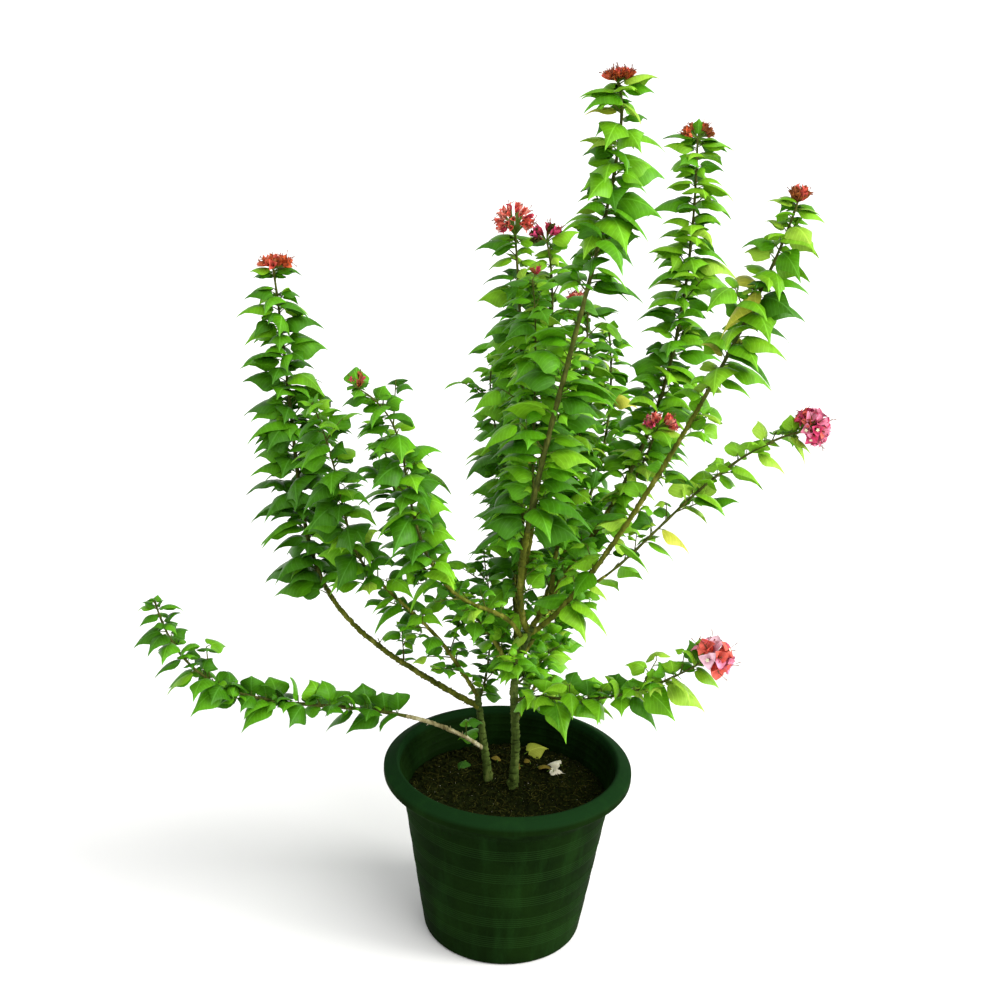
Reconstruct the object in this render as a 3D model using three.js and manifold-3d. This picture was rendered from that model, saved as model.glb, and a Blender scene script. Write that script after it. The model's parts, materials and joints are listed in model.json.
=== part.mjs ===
// A bougainvillea bush in a round nursery pot.
// Millimetres, +Z up, +X to the right and +Y to the back of the plant.
// The origin is the middle of the pot's flat underside.
// Turn is a compass angle in degrees: 0 to the right, 90 to the back. Rise is above the level.
import * as THREE from "three";
import { mergeVertices } from "three/addons/utils/BufferGeometryUtils.js";
import Module from "manifold-3d";

const wasm = await Module();
wasm.setup();

// Clearance between neighbouring pieces
const GAP = 0.3;

// Pot
const POT_HEIGHT = 225;
const POT_ROUND = 36;
const BASE_RADIUS = 97;
const BASE_ROUNDING = 5;
const BODY_TOP_RADIUS = 126.5;
const BODY_TOP_HEIGHT = 190;
const RIM_RADIUS = 150;
const SKIRT_HEIGHT = 12;
const SKIRT_UNDERCUT = 23;
const LIP_ROUNDING = 5;
const OPENING_RADIUS = 132;
const WALL = 3;
const FLOOR = 4;

// Soil
const SOIL_TOP = 182;

// Limbs: number of sides of a woody limb and of a leafy shoot, and the longest step along each
const LIMB_SIDES = 7;
const LIMB_STEP = 32;
const SHOOT_SIDES = 3;
const SHOOT_STEP = 48;
const FLARE = 0.7;
const FLARE_LENGTH = 14;
const FORK_REACH = 50;

// Leaves: shares of the leaf's own length, and how a leaf on a level shoot lifts more and droops less
const GOLDEN_TURN = 137.5;
const LEAF_WIDTH = 0.66;
const LEAF_WIDEST = 0.5;
const LEAF_ARCH = 0.08;
const LEAF_DROOP = 0.55;
const LEVEL_LIFT = 0.9;
const LEVEL_STIFFNESS = 0.55;
const LEAF_THICK = 1.6;
const FIRST_LEAF = 10;
const LAST_LEAF = 3;
const SPACE_MARGIN = 3;
const LIMB_CLEARANCE = 4;

// Side twigs on a leafy shoot: one at every so many leaves.
// A twig's leaves are [share of its length, turn about it].
const TWIG_EVERY = 7;
const TWIG_LENGTH = 42;
const TWIG_RADIUS = 0.9;
const TWIG_LEAVES = [[0.5, 100], [0.75, 250], [0.98, 20]];

// Flower heads: across, tall, number of bracts, how far round they spread in degrees, and the height of the
// middle above the shoot's tip
const HEADS = {
  crown: { across: 36, tall: 18, bracts: 8, spread: 72, above: 2 },
  flat: { across: 46, tall: 22, bracts: 8, spread: 80, above: 4 },
  ball: { across: 46, tall: 23, bracts: 11, spread: 125, above: 16 },
  tuft: { across: 25, tall: 18, bracts: 6, spread: 60, above: 2 },
  pair: { across: 42, tall: 22, bracts: 8, spread: 88, above: 3 },
  open: { across: 46, tall: 24, bracts: 8, spread: 105, above: 8 },
  bud: { across: 18, tall: 14, bracts: 4, spread: 60, above: 1 },
};
const HEAD_CORE = 0.5;
const HEAD_LIFT = 0.3;
const BRACT_RADIUS = 3.4;

// Each limb bends once between the point where it leaves its parent and its tip.
// "at" is that point's share of the parent's length.
// "leave" and "arrive" are [turn, rise, how far the limb keeps near that heading].
// "thick" is the diameter at the start and at the tip.
// "bare" is the share of the length with no leaves.
// "leaf" is [spacing along the shoot, length of the lowest leaves, length of the topmost leaves].
const LIMBS = [
  { name: "stem_left", foot: [-22, 19], tip: [-40, 45, 295],
    leave: [117, 68, 70], arrive: [110, 78, 20], thick: [11, 9],
    bare: 1 },
  { name: "stem_right", foot: [7, 5], tip: [20, 10, 395],
    leave: [27, 86, 130], arrive: [348, 72, 105], thick: [13, 11.5],
    bare: 1 },

  { name: "left_low", parent: "stem_left", at: 0.34, tip: [-410, -40, 435],
    leave: [195, 41, 195], arrive: [185, 78, 210], thick: [7, 2.4],
    bare: 0.24, leaf: [17, 54, 40] },
  { name: "left_tall", parent: "stem_left", at: 0.8, tip: [-290, 90, 795],
    leave: [174, 26, 285], arrive: [161, 82, 380], thick: [9, 2.6],
    bare: 0.38, leaf: [16, 62, 44], head: "flat" },
  { name: "left_inner", parent: "stem_left", at: 0.92, tip: [-165, 5, 455],
    leave: [200, 59, 125], arrive: [191, 47, 125], thick: [7, 4.6],
    bare: 1 },
  { name: "left_inner_top", parent: "left_inner", at: 1, tip: [-230, -30, 670],
    leave: [191, 47, 60], arrive: [180, 67, 105], thick: [4.6, 2],
    bare: 0, leaf: [13, 62, 38] },
  { name: "left_sprig", parent: "stem_left", at: 0.88, tip: [-25, 100, 365],
    leave: [60, 30, 25], arrive: [70, 78, 30], thick: [4, 1.8],
    bare: 0, leaf: [16, 40, 30] },
  { name: "left_tall_sprig", parent: "left_tall", at: 0.17, tip: [-135, 58, 370],
    leave: [90, 85, 15], arrive: [100, 85, 15], thick: [2.6, 1.4],
    bare: 0, leaf: [11, 30, 26] },
  { name: "left_inner_sprig", parent: "left_inner", at: 0.34, tip: [-64, 42, 388],
    leave: [60, 65, 15], arrive: [40, 75, 15], thick: [2.6, 1.4],
    bare: 0, leaf: [10, 32, 28] },
  { name: "left_inner_spur", parent: "left_inner", at: 0.2, tip: [-96, 12, 334],
    leave: [200, 20, 12], arrive: [215, 0, 12], thick: [2.6, 1.4],
    bare: 0, leaf: [11, 30, 26] },

  { name: "arch_front", parent: "stem_right", at: 0.89, tip: [-95, -60, 500],
    leave: [239, 61, 95], arrive: [207, 63, 95], thick: [8, 5.6],
    bare: 1 },
  { name: "arch_front_top", parent: "arch_front", at: 1, tip: [-175, -110, 710],
    leave: [207, 63, 105], arrive: [192, 28, 80], thick: [5.6, 2.2],
    bare: 0, leaf: [12, 66, 42], head: "tuft" },
  { name: "arch_back", parent: "stem_right", at: 0.66, tip: [-110, 50, 450],
    leave: [145, 59, 105], arrive: [173, 53, 55], thick: [7, 5],
    bare: 1 },
  { name: "arch_back_top", parent: "arch_back", at: 1, tip: [-170, 80, 620],
    leave: [173, 53, 55], arrive: [238, 41, 20], thick: [5, 2],
    bare: 0, leaf: [12, 60, 38] },
  { name: "stem_sprig", parent: "stem_right", at: 0.72, tip: [3, -22, 372],
    leave: [255, 45, 10], arrive: [230, 60, 10], thick: [2.6, 1.4],
    bare: 0, leaf: [9, 32, 28] },
  { name: "middle_twig", parent: "arch_back", at: 0.23, tip: [-40, 140, 445],
    leave: [98, 19, 90], arrive: [106, 67, 40], thick: [3, 1.6],
    bare: 0, leaf: [16, 44, 32] },

  { name: "centre_left", parent: "stem_right", at: 0.55, tip: [-15, 150, 835],
    leave: [95, 62, 95], arrive: [135, 81, 325], thick: [8, 2.6],
    bare: 0.3, leaf: [16, 63, 46], head: "ball" },
  { name: "centre_thin", parent: "centre_left", at: 0.18, tip: [-35, 215, 670],
    leave: [91, 41, 195], arrive: [40, 65, 60], thick: [5, 2],
    bare: 0.25, leaf: [14, 58, 38] },
  { name: "leader", parent: "stem_right", at: 0.97, tip: [75, -130, 1020],
    leave: [197, 58, 105], arrive: [168, 63, 80], thick: [11.5, 2.6],
    bare: 0.22, leaf: [16, 66, 42], head: "crown" },
  { name: "centre", parent: "leader", at: 0.08, tip: [20, 70, 840],
    leave: [60, 73, 205], arrive: [206, 69, 50], thick: [6.5, 2.4],
    bare: 0.32, leaf: [15, 61, 46], head: "pair" },
  { name: "centre_small", parent: "centre", at: 0.26, tip: [5, 5, 808],
    leave: [250, 55, 60], arrive: [150, 80, 90], thick: [3.6, 1.8],
    bare: 0, leaf: [19, 46, 38], head: "bud" },

  { name: "right_tall", parent: "stem_right", at: 0.96, tip: [270, -60, 910],
    leave: [357, 21, 70], arrive: [15, 78, 120], thick: [10.5, 2.4],
    bare: 0.6, leaf: [16, 60, 42], head: "tuft" },
  { name: "right_long", parent: "right_tall", at: 0.14, tip: [320, 50, 635],
    leave: [10, 14, 65], arrive: [2, 17, 115], thick: [6, 2.6],
    bare: 0.12, leaf: [16, 52, 44], head: "ball" },
  { name: "right_back", parent: "stem_right", at: 0.92, tip: [195, 190, 950],
    leave: [50, 47, 165], arrive: [105, 82, 390], thick: [9, 2.6],
    bare: 0.33, leaf: [17, 64, 46], head: "pair" },
  { name: "centre_back", parent: "right_back", at: 0.1, tip: [75, 150, 750],
    leave: [118, 69, 55], arrive: [110, 82, 210], thick: [6, 2.2],
    bare: 0.15, leaf: [14, 62, 44], head: "tuft" },
  { name: "right_inner", parent: "right_back", at: 0.31, tip: [160, 70, 630],
    leave: [346, 28, 15], arrive: [322, 73, 65], thick: [4, 2.4],
    bare: 0, leaf: [16, 50, 40], head: "pair" },
  { name: "right_low", parent: "stem_right", at: 0.52, tip: [205, -130, 425],
    leave: [329, 57, 45], arrive: [339, 41, 170], thick: [5, 2.4],
    bare: 0, leaf: [15, 56, 44], head: "open" },
  { name: "right_sprig", parent: "stem_right", at: 0.63, tip: [70, 90, 345],
    leave: [55, 5, 65], arrive: [36, 14, 40], thick: [3, 1.6],
    bare: 0, leaf: [16, 34, 28] },

  { name: "back_left", parent: "centre_left", at: 0.13, tip: [-5, 310, 730],
    leave: [94, 35, 275], arrive: [67, 73, 100], thick: [6.5, 2.2],
    bare: 0.3, leaf: [18, 64, 44] },
  { name: "back_right", parent: "right_back", at: 0.07, tip: [115, 330, 690],
    leave: [92, 33, 55], arrive: [117, 72, 215], thick: [6.5, 2.2],
    bare: 0.25, leaf: [16, 66, 44] },
  { name: "back_middle", parent: "stem_right", at: 0.8, tip: [60, 360, 545],
    leave: [55, 20, 100], arrive: [88, 65, 165], thick: [6.5, 2.2],
    bare: 0.35, leaf: [18, 64, 44] },
  { name: "back_low", parent: "stem_right", at: 0.42, tip: [95, 270, 340],
    leave: [50, 35, 110], arrive: [30, 10, 60], thick: [5, 2],
    bare: 0.2, leaf: [17, 58, 44] },
];

const UP = new THREE.Vector3(0, 0, 1);
const rad = THREE.MathUtils.degToRad;

// A unit vector from a turn and a rise in degrees
function heading(turn, rise) {
  const level = Math.cos(rad(rise));
  return new THREE.Vector3(
    level * Math.cos(rad(turn)), level * Math.sin(rad(turn)), Math.sin(rad(rise)));
}

// A repeatable run of numbers between 0 and 1
function seeded(seed) {
  let state = seed >>> 0;
  return () => {
    state = (state + 0x6d2b79f5) >>> 0;
    let mixed = Math.imul(state ^ (state >>> 15), 1 | state);
    mixed = (mixed + Math.imul(mixed ^ (mixed >>> 7), 61 | mixed)) ^ mixed;
    return ((mixed ^ (mixed >>> 14)) >>> 0) / 4294967296;
  };
}

// Solids

function solidOf(geometry) {
  const bare = geometry.clone();
  bare.deleteAttribute("normal");
  bare.deleteAttribute("uv");
  const merged = mergeVertices(bare, 1e-3);
  return new wasm.Manifold(new wasm.Mesh({
    numProp: 3,
    vertProperties: new Float32Array(merged.attributes.position.array),
    triVerts: new Uint32Array(merged.index.array),
  }));
}

function geometryOf(solid) {
  const mesh = solid.getMesh();
  const geometry = new THREE.BufferGeometry();
  geometry.setAttribute("position", new THREE.BufferAttribute(new Float32Array(mesh.vertProperties), 3));
  geometry.setIndex(new THREE.BufferAttribute(new Uint32Array(mesh.triVerts), 1));
  return geometry;
}

function fromFaces(points, faces) {
  const geometry = new THREE.BufferGeometry().setFromPoints(points);
  geometry.setIndex(faces.flat());
  return geometry;
}

// The largest piece of a solid, with no edge shorter than a third of the gap.
// Loose scraps and sealed hollows that fusing leaves are dropped.
function largestPiece(solid) {
  const outer = (whole) => whole.decompose().sort((a, b) => b.volume() - a.volume())[0];
  return outer(solidOf(geometryOf(outer(solid).simplify(GAP / 3))));
}

// A tapering tube along a curve, from one share of its length to another, closed by flat ends
function tube(curve, from, to, radiusAt, sides, longestStep, levelFoot = false) {
  const steps = Math.max(2, Math.ceil((curve.getLength() * (to - from)) / longestStep));
  const points = [];
  const faces = [];
  let across = null;
  for (let i = 0; i <= steps; i++) {
    const share = Math.min(to, from + ((to - from) * i) / steps);
    const along = levelFoot && i === 0 ? UP.clone() : curve.getTangentAt(share);
    across = across ?? new THREE.Vector3().crossVectors(along, new THREE.Vector3(0.31, -0.95, 0.05));
    across.addScaledVector(along, -across.dot(along)).normalize();
    const other = new THREE.Vector3().crossVectors(along, across);
    const centre = curve.getPointAt(share);
    for (let side = 0; side < sides; side++) {
      const angle = (2 * Math.PI * side) / sides;
      points.push(centre.clone()
        .addScaledVector(across, radiusAt(share) * Math.cos(angle))
        .addScaledVector(other, radiusAt(share) * Math.sin(angle)));
    }
  }
  for (let i = 0; i < steps; i++) {
    for (let side = 0; side < sides; side++) {
      const next = (side + 1) % sides;
      const [a, b] = [i * sides + side, i * sides + next];
      faces.push([a, b, b + sides], [a, b + sides, a + sides]);
    }
  }
  const last = steps * sides;
  for (let side = 1; side < sides - 1; side++) {
    faces.push([0, side + 1, side], [last, last + side, last + side + 1]);
  }
  return fromFaces(points, faces);
}

// Pot and soil: profiles turned round the upright axis

function turned(profile) {
  const lathe = new THREE.LatheGeometry(profile.map(([r, z]) => new THREE.Vector2(r, z)), POT_ROUND);
  return lathe.rotateX(Math.PI / 2);
}

// The points of a quarter round between two corners of a profile, bulging towards a third point
function rounded(start, corner, end, steps = 3) {
  const bend = new THREE.QuadraticBezierCurve(
    new THREE.Vector2(...start), new THREE.Vector2(...corner), new THREE.Vector2(...end));
  return bend.getPoints(steps).map((p) => [p.x, p.y]);
}

// Radius of the pot's outer wall at a height
function wallRadius(z) {
  return BASE_RADIUS + ((BODY_TOP_RADIUS - BASE_RADIUS) * z) / BODY_TOP_HEIGHT;
}

function potGeometry() {
  const skirtFoot = POT_HEIGHT - SKIRT_HEIGHT;
  const innerNeck = POT_HEIGHT - SKIRT_UNDERCUT;
  const outside = [
    [0, 0],
    ...rounded([BASE_RADIUS - BASE_ROUNDING, 0], [BASE_RADIUS, 0],
      [wallRadius(BASE_ROUNDING), BASE_ROUNDING]),
    [BODY_TOP_RADIUS, BODY_TOP_HEIGHT],
    [RIM_RADIUS - WALL, skirtFoot - 1],
    [RIM_RADIUS, skirtFoot + 2],
    ...rounded([RIM_RADIUS, POT_HEIGHT - LIP_ROUNDING], [RIM_RADIUS, POT_HEIGHT],
      [RIM_RADIUS - LIP_ROUNDING, POT_HEIGHT]),
  ];
  const inside = [
    [OPENING_RADIUS + 2, POT_HEIGHT],
    [OPENING_RADIUS, POT_HEIGHT - 2],
    [BODY_TOP_RADIUS - WALL + 1, innerNeck],
    [wallRadius(BODY_TOP_HEIGHT) - WALL, BODY_TOP_HEIGHT - 2],
    [wallRadius(FLOOR) - WALL, FLOOR],
    [0, FLOOR],
  ];
  return turned([...outside, ...inside]);
}

function soilGeometry() {
  const low = FLOOR + GAP;
  const clear = WALL + GAP / Math.cos(Math.PI / POT_ROUND);
  const radiusAt = (height) => wallRadius(height) - clear;
  return turned([[0, low], [radiusAt(low), low], [radiusAt(SOIL_TOP), SOIL_TOP], [0, SOIL_TOP]]);
}

// Limbs

const limbs = new Map();

// Works out a limb's curve, and its radius along it, from its sizes
function layOut(spec) {
  const parent = limbs.get(spec.parent);
  const start = parent
    ? parent.curve.getPointAt(spec.at)
    : new THREE.Vector3(...spec.foot, SOIL_TOP + GAP);
  const tip = new THREE.Vector3(...spec.tip);
  const [turnOut, riseOut, pullOut] = spec.leave;
  const [turnIn, riseIn, pullIn] = spec.arrive;
  const curve = new THREE.CubicBezierCurve3(
    start,
    start.clone().addScaledVector(heading(turnOut, riseOut), pullOut),
    tip.clone().addScaledVector(heading(turnIn, riseIn), -pullIn),
    tip,
  );
  curve.arcLengthDivisions = 400;
  const length = curve.getLength();
  const [thickFoot, thickTip] = spec.thick;
  const radiusAt = (share) => {
    const flare = parent ? 0 : FLARE * Math.exp((-share * length) / FLARE_LENGTH);
    return ((thickFoot + (thickTip - thickFoot) * share) / 2) * (1 + flare);
  };
  limbs.set(spec.name, { ...spec, parent, curve, length, radiusAt, bareSolid: null });
}
LIMBS.forEach(layOut);

// Points along a limb between two shares of its length, for measuring distances to it
function sampled(limb, from, to) {
  const count = Math.max(3, Math.ceil((limb.length * (to - from)) / 5));
  return Array.from({ length: count + 1 }, (_, i) => {
    const share = from + ((to - from) * i) / count;
    return { at: limb.curve.getPointAt(share), radius: limb.radiusAt(share) };
  });
}

const leafyLines = new Map();
const woodLines = new Map();
for (const limb of limbs.values()) {
  if (limb.bare > 0) woodLines.set(limb.name, sampled(limb, 0, limb.bare));
  if (limb.bare < 1) leafyLines.set(limb.name, sampled(limb, limb.bare, 1));
}

function nearest(point, line) {
  return Math.min(...line.map(({ at, radius }) => at.distanceTo(point) - radius));
}

// Whether points stay nearer to their own shoot than to any other, and clear of the wood
function keepsToItsSpace(points, name) {
  return points.every((point) => {
    const own = nearest(point, leafyLines.get(name)) + SPACE_MARGIN;
    for (const [other, line] of leafyLines) {
      if (other !== name && nearest(point, line) < own) return false;
    }
    for (const line of woodLines.values()) {
      if (nearest(point, line) < LIMB_CLEARANCE) return false;
    }
    return Math.hypot(point.x, point.y) > RIM_RADIUS + SPACE_MARGIN || point.z > POT_HEIGHT + SPACE_MARGIN
      || (Math.hypot(point.x, point.y) < BODY_TOP_RADIUS - 10 && point.z > SOIL_TOP + SPACE_MARGIN);
  });
}

// A stretch of a limb, grown by the gap: what the foot of another limb must clear
function grown(limb, from, to) {
  const radiusAt = (share) => (limb.radiusAt(share) + GAP) / Math.cos(Math.PI / LIMB_SIDES);
  return solidOf(tube(limb.curve, Math.max(0, from), Math.min(1, to), radiusAt, LIMB_SIDES, LIMB_STEP));
}

// Cuts the foot of a limb to fit its parent, and the limbs before it that leave the same parent close by
function seat(solid, limb) {
  const { parent, at } = limb;
  const near = FORK_REACH / parent.length;
  let seated = solid.subtract(grown(parent, at - near, at + near));
  for (const other of limbs.values()) {
    if (other === limb) break;
    if (other.parent === parent && Math.abs(other.at - at) < near) {
      seated = seated.subtract(grown(other, 0, FORK_REACH / other.length));
    }
  }
  return largestPiece(seated);
}

// Leaves and twigs

// One leaf as eight flat faces: a plate that bends where it is widest, and narrows to its root and tip
function leafPoints(root, along, radius, length, droop) {
  const side = new THREE.Vector3().crossVectors(along, UP);
  if (side.length() < 0.2) side.set(1, 0, 0).addScaledVector(along, -along.x);
  side.normalize();
  const face = new THREE.Vector3().crossVectors(side, along).normalize();
  const on = (share, width, lift) => root.clone()
    .addScaledVector(along, share * length)
    .addScaledVector(side, width)
    .addScaledVector(face, lift)
    .addScaledVector(UP, -droop * length * share * share);
  const arch = LEAF_ARCH * length;
  const half = (LEAF_WIDTH * length) / 2;
  return [
    root.clone().addScaledVector(along, -0.4 * radius),
    on(LEAF_WIDEST, -half, arch + LEAF_THICK),
    on(LEAF_WIDEST, half, arch + LEAF_THICK),
    on(1, 0, 0),
    on(LEAF_WIDEST, -half, arch),
    on(LEAF_WIDEST, half, arch),
  ];
}
const LEAF_FACES = [[0, 2, 1], [3, 1, 2], [0, 4, 5], [3, 5, 4], [0, 1, 4], [1, 3, 4], [2, 0, 5], [3, 2, 5]];

// Points spread over a leaf's blade, for the test of its space
function bladePoints([root, left, right, tip]) {
  const mixed = (a, b, share) => a.clone().lerp(b, share);
  const middle = mixed(left, right, 0.5);
  return [
    left, right, tip, middle,
    mixed(left, tip, 0.5), mixed(right, tip, 0.5), mixed(middle, tip, 0.5),
    mixed(root, left, 0.5), mixed(root, right, 0.5), mixed(middle, left, 0.5), mixed(middle, right, 0.5),
  ];
}

// Whether two solids share any space
function touches(a, b) {
  const [boxA, boxB] = [a.boundingBox(), b.boundingBox()];
  const apart = [0, 1, 2].some((k) => boxA.min[k] > boxB.max[k] || boxB.min[k] > boxA.max[k]);
  return !apart && a.intersect(b).volume() > 0;
}

// Tries a leaf at a few turns about the shoot and returns its solid.
// It is nothing where none keeps to its space and clear of the leaves before it.
function growLeaf(name, before, root, along, radius, turn, length, rand) {
  const across = new THREE.Vector3().crossVectors(along, heading(17, 3)).normalize();
  const other = new THREE.Vector3().crossVectors(along, across);
  const lift = 0.2 + 0.35 * rand();
  const level = 1 - Math.abs(along.z);
  const droop = LEAF_DROOP * (0.7 + 0.6 * rand()) * (1 - LEVEL_STIFFNESS * level);
  for (const change of [0, 28, -28, 56, -56, 90, -90]) {
    const angle = rad(turn + change);
    const direction = across.clone().multiplyScalar(Math.cos(angle))
      .addScaledVector(other, Math.sin(angle))
      .addScaledVector(along, lift);
    direction.z += level * LEVEL_LIFT;
    direction.normalize();
    const points = leafPoints(root, direction, radius, length, droop);
    if (!keepsToItsSpace(bladePoints(points), name)) continue;
    const leaf = solidOf(fromFaces(points, LEAF_FACES));
    if (!before.some((other) => touches(leaf, other))) return leaf;
  }
  return null;
}

// A short three-sided twig with its leaves, or nothing where it would leave its space or touch a leaf
function growTwig(name, before, root, along, turn, length, leafLength, rand) {
  const across = new THREE.Vector3().crossVectors(along, heading(17, 3)).normalize();
  const other = new THREE.Vector3().crossVectors(along, across);
  const direction = across.multiplyScalar(Math.cos(rad(turn)))
    .addScaledVector(other, Math.sin(rad(turn)))
    .addScaledVector(along, 0.8)
    .addScaledVector(UP, (1 - Math.abs(along.z)) * LEVEL_LIFT)
    .normalize();
  const end = root.clone().addScaledVector(direction, length);
  const middle = root.clone().addScaledVector(direction, length * 0.55).addScaledVector(UP, length * 0.05);
  if (!keepsToItsSpace([middle, end], name)) return [];
  const line = new THREE.QuadraticBezierCurve3(root, middle, end);
  const twig = solidOf(tube(line, 0, 1, () => TWIG_RADIUS, 3, length / 2));
  if (before.some((other) => touches(twig, other))) return [];
  const found = [];
  for (const [share, side] of TWIG_LEAVES) {
    const [foot, tangent] = [line.getPointAt(share), line.getTangentAt(share)];
    const others = [...before, ...found];
    const leaf = growLeaf(name, others, foot, tangent, TWIG_RADIUS, turn + side, leafLength, rand);
    if (leaf) found.push(leaf);
  }
  return [twig, ...found];
}

// A flower head on a shoot's tip: a low core with pointed bracts standing out of it
function growHead(kind, tip, along) {
  const { across, tall, bracts, spread, above } = HEADS[kind];
  const facing = along.clone().lerp(UP, HEAD_LIFT).normalize();
  const middle = tip.clone().addScaledVector(facing, above);
  const turnToTip = new THREE.Quaternion().setFromUnitVectors(UP, facing);
  const place = (geometry) => solidOf(
    geometry.applyQuaternion(turnToTip).translate(middle.x, middle.y, middle.z));
  const core = new THREE.IcosahedronGeometry(1, 0);
  core.scale((HEAD_CORE * across) / 2, (HEAD_CORE * across) / 2, HEAD_CORE * tall);
  const neck = new THREE.CylinderGeometry(TWIG_RADIUS, TWIG_RADIUS, above, 3).rotateX(Math.PI / 2)
    .translate(0, 0, -above / 2);
  const found = [place(core), place(neck)];
  for (let i = 0; i < bracts; i++) {
    const out = rad(spread) * Math.sqrt((i + 0.5) / bracts);
    const round = rad(GOLDEN_TURN * i);
    const bract = new THREE.ConeGeometry(BRACT_RADIUS, 1, 3).translate(0, 0.5, 0).rotateX(Math.PI / 2);
    const reach = new THREE.Vector3(
      Math.sin(out) * Math.cos(round) * (across / 2),
      Math.sin(out) * Math.sin(round) * (across / 2),
      Math.cos(out) * tall,
    );
    const length = reach.length();
    bract.scale(1, 1, length);
    bract.applyQuaternion(new THREE.Quaternion().setFromUnitVectors(UP, reach.divideScalar(length)));
    found.push(place(bract));
  }
  return found;
}

// The leafless part of a limb: cut to fit the parent it leaves, or flat where it carries on from its tip
function growWood(limb) {
  const { curve, length, bare, parent, at, radiusAt } = limb;
  const continues = parent && at === 1;
  const from = continues ? GAP / length : 0;
  const solid = solidOf(tube(curve, from, bare, radiusAt, LIMB_SIDES, LIMB_STEP, !parent));
  return parent && !continues ? seat(solid, limb) : solid;
}

// The leafy part of a limb, fused to one solid
function growShoot(limb, index) {
  const { name, curve, length, bare, parent, at, radiusAt } = limb;
  const rand = seeded(1000 + 77 * index);
  const [spacing, lowLeaf, topLeaf] = limb.leaf;
  const from = bare > 0 || at === 1 ? bare + GAP / length : 0;
  const leaves = [];
  let turn = 360 * rand();
  let count = 0;
  let along = bare * length + FIRST_LEAF;
  while (along < length - LAST_LEAF) {
    const share = along / length;
    const root = curve.getPointAt(share);
    const tangent = curve.getTangentAt(share);
    const rise = (share - bare) / (1 - bare);
    const leafLength = (lowLeaf + (topLeaf - lowLeaf) * rise) * (0.85 + 0.3 * rand());
    turn += GOLDEN_TURN + 20 * (rand() - 0.5);
    count += 1;
    if (count % TWIG_EVERY === 0 && rise < 0.8) {
      const twigLength = TWIG_LENGTH * (0.7 + 0.6 * rand());
      leaves.push(...growTwig(name, leaves, root, tangent, turn, twigLength, leafLength * 0.8, rand));
    } else {
      const leaf = growLeaf(name, leaves, root, tangent, radiusAt(share), turn, leafLength, rand);
      if (leaf) leaves.push(leaf);
    }
    along += spacing * (0.8 + 0.4 * rand());
  }
  const head = limb.head ? growHead(limb.head, curve.getPointAt(1), curve.getTangentAt(1)) : [];
  const line = solidOf(tube(curve, from, 1, radiusAt, SHOOT_SIDES, SHOOT_STEP));
  const whole = wasm.Manifold.union([line, ...leaves, ...head]);
  return bare === 0 && at < 1 ? seat(whole, limb) : largestPiece(whole);
}

// Materials

const potPlastic = new THREE.MeshStandardMaterial({ color: 0x2c4a2c, roughness: 0.55, metalness: 0 });
const pottingSoil = new THREE.MeshStandardMaterial({ color: 0x2b2119, roughness: 0.95, metalness: 0 });
const bark = new THREE.MeshStandardMaterial({ color: 0x6f6a4c, roughness: 0.85, metalness: 0 });
const leafGreen = new THREE.MeshStandardMaterial({ color: 0x5c8a35, roughness: 0.6, metalness: 0 });

const plant = new THREE.Group();

function addPiece(name, geometry, material) {
  const mesh = new THREE.Mesh(geometry, material);
  mesh.name = name;
  plant.add(mesh);
}

addPiece("pot", potGeometry(), potPlastic);
addPiece("soil", soilGeometry(), pottingSoil);
[...limbs.values()].forEach((limb, index) => {
  const woodName = limb.name.startsWith("stem") ? limb.name : "bough_" + limb.name;
  if (limb.bare > 0) addPiece(woodName, geometryOf(growWood(limb)), bark);
  if (limb.bare < 1) addPiece("foliage_" + limb.name, geometryOf(growShoot(limb, index)), leafGreen);
});

export default plant;
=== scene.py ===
# A bougainvillea bush in a round nursery pot, on a plain pale floor
import json
import math

import bpy
import numpy as np
from mathutils import Matrix, Vector
from mathutils.bvhtree import BVHTree

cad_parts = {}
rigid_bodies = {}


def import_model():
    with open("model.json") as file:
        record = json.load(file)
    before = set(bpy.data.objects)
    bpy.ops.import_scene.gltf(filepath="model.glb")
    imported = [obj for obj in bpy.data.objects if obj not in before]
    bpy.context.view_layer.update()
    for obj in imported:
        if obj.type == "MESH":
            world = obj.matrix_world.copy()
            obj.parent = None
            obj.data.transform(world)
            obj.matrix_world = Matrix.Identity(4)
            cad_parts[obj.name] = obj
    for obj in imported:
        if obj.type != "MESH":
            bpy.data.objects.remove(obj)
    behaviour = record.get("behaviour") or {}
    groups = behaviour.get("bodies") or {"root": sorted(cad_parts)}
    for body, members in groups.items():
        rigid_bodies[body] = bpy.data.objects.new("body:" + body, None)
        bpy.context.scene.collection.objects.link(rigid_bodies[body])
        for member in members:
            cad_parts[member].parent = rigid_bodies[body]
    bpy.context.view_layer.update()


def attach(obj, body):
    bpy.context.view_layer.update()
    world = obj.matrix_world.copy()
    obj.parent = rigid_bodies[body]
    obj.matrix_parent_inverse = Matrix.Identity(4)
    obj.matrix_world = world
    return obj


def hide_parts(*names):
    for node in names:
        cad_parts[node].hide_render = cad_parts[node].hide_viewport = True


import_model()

# All sizes are in millimetres until a mesh is made
MM = 0.001
UP = np.array([0.0, 0.0, 1.0])


# Camera, lights and floor

CAMERA_AT = (-21.2, -1495.4, 1061.3)
CAMERA_DOWN = math.radians(18.68)
CAMERA_ROLL = math.radians(2.13)
LENS = 50
SENSOR = 36
SIGHT_REACH = 60
FLOOR_REACH = 45
# Name, place, strength, softness in degrees, colour
LIGHTS = (("key", (1.5, -1.3, 2.6), 1.9, 50, (1.0, 0.99, 0.96)),
          ("side", (3.0, -0.5, 1.0), 3.0, 25, (1.0, 0.99, 0.95)))

# Height of direction at which the room's light changes, and its strength below and above
HORIZON = (0.12, 0.5)
ROOM_LIGHT = (1.12, 0.72)


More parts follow.
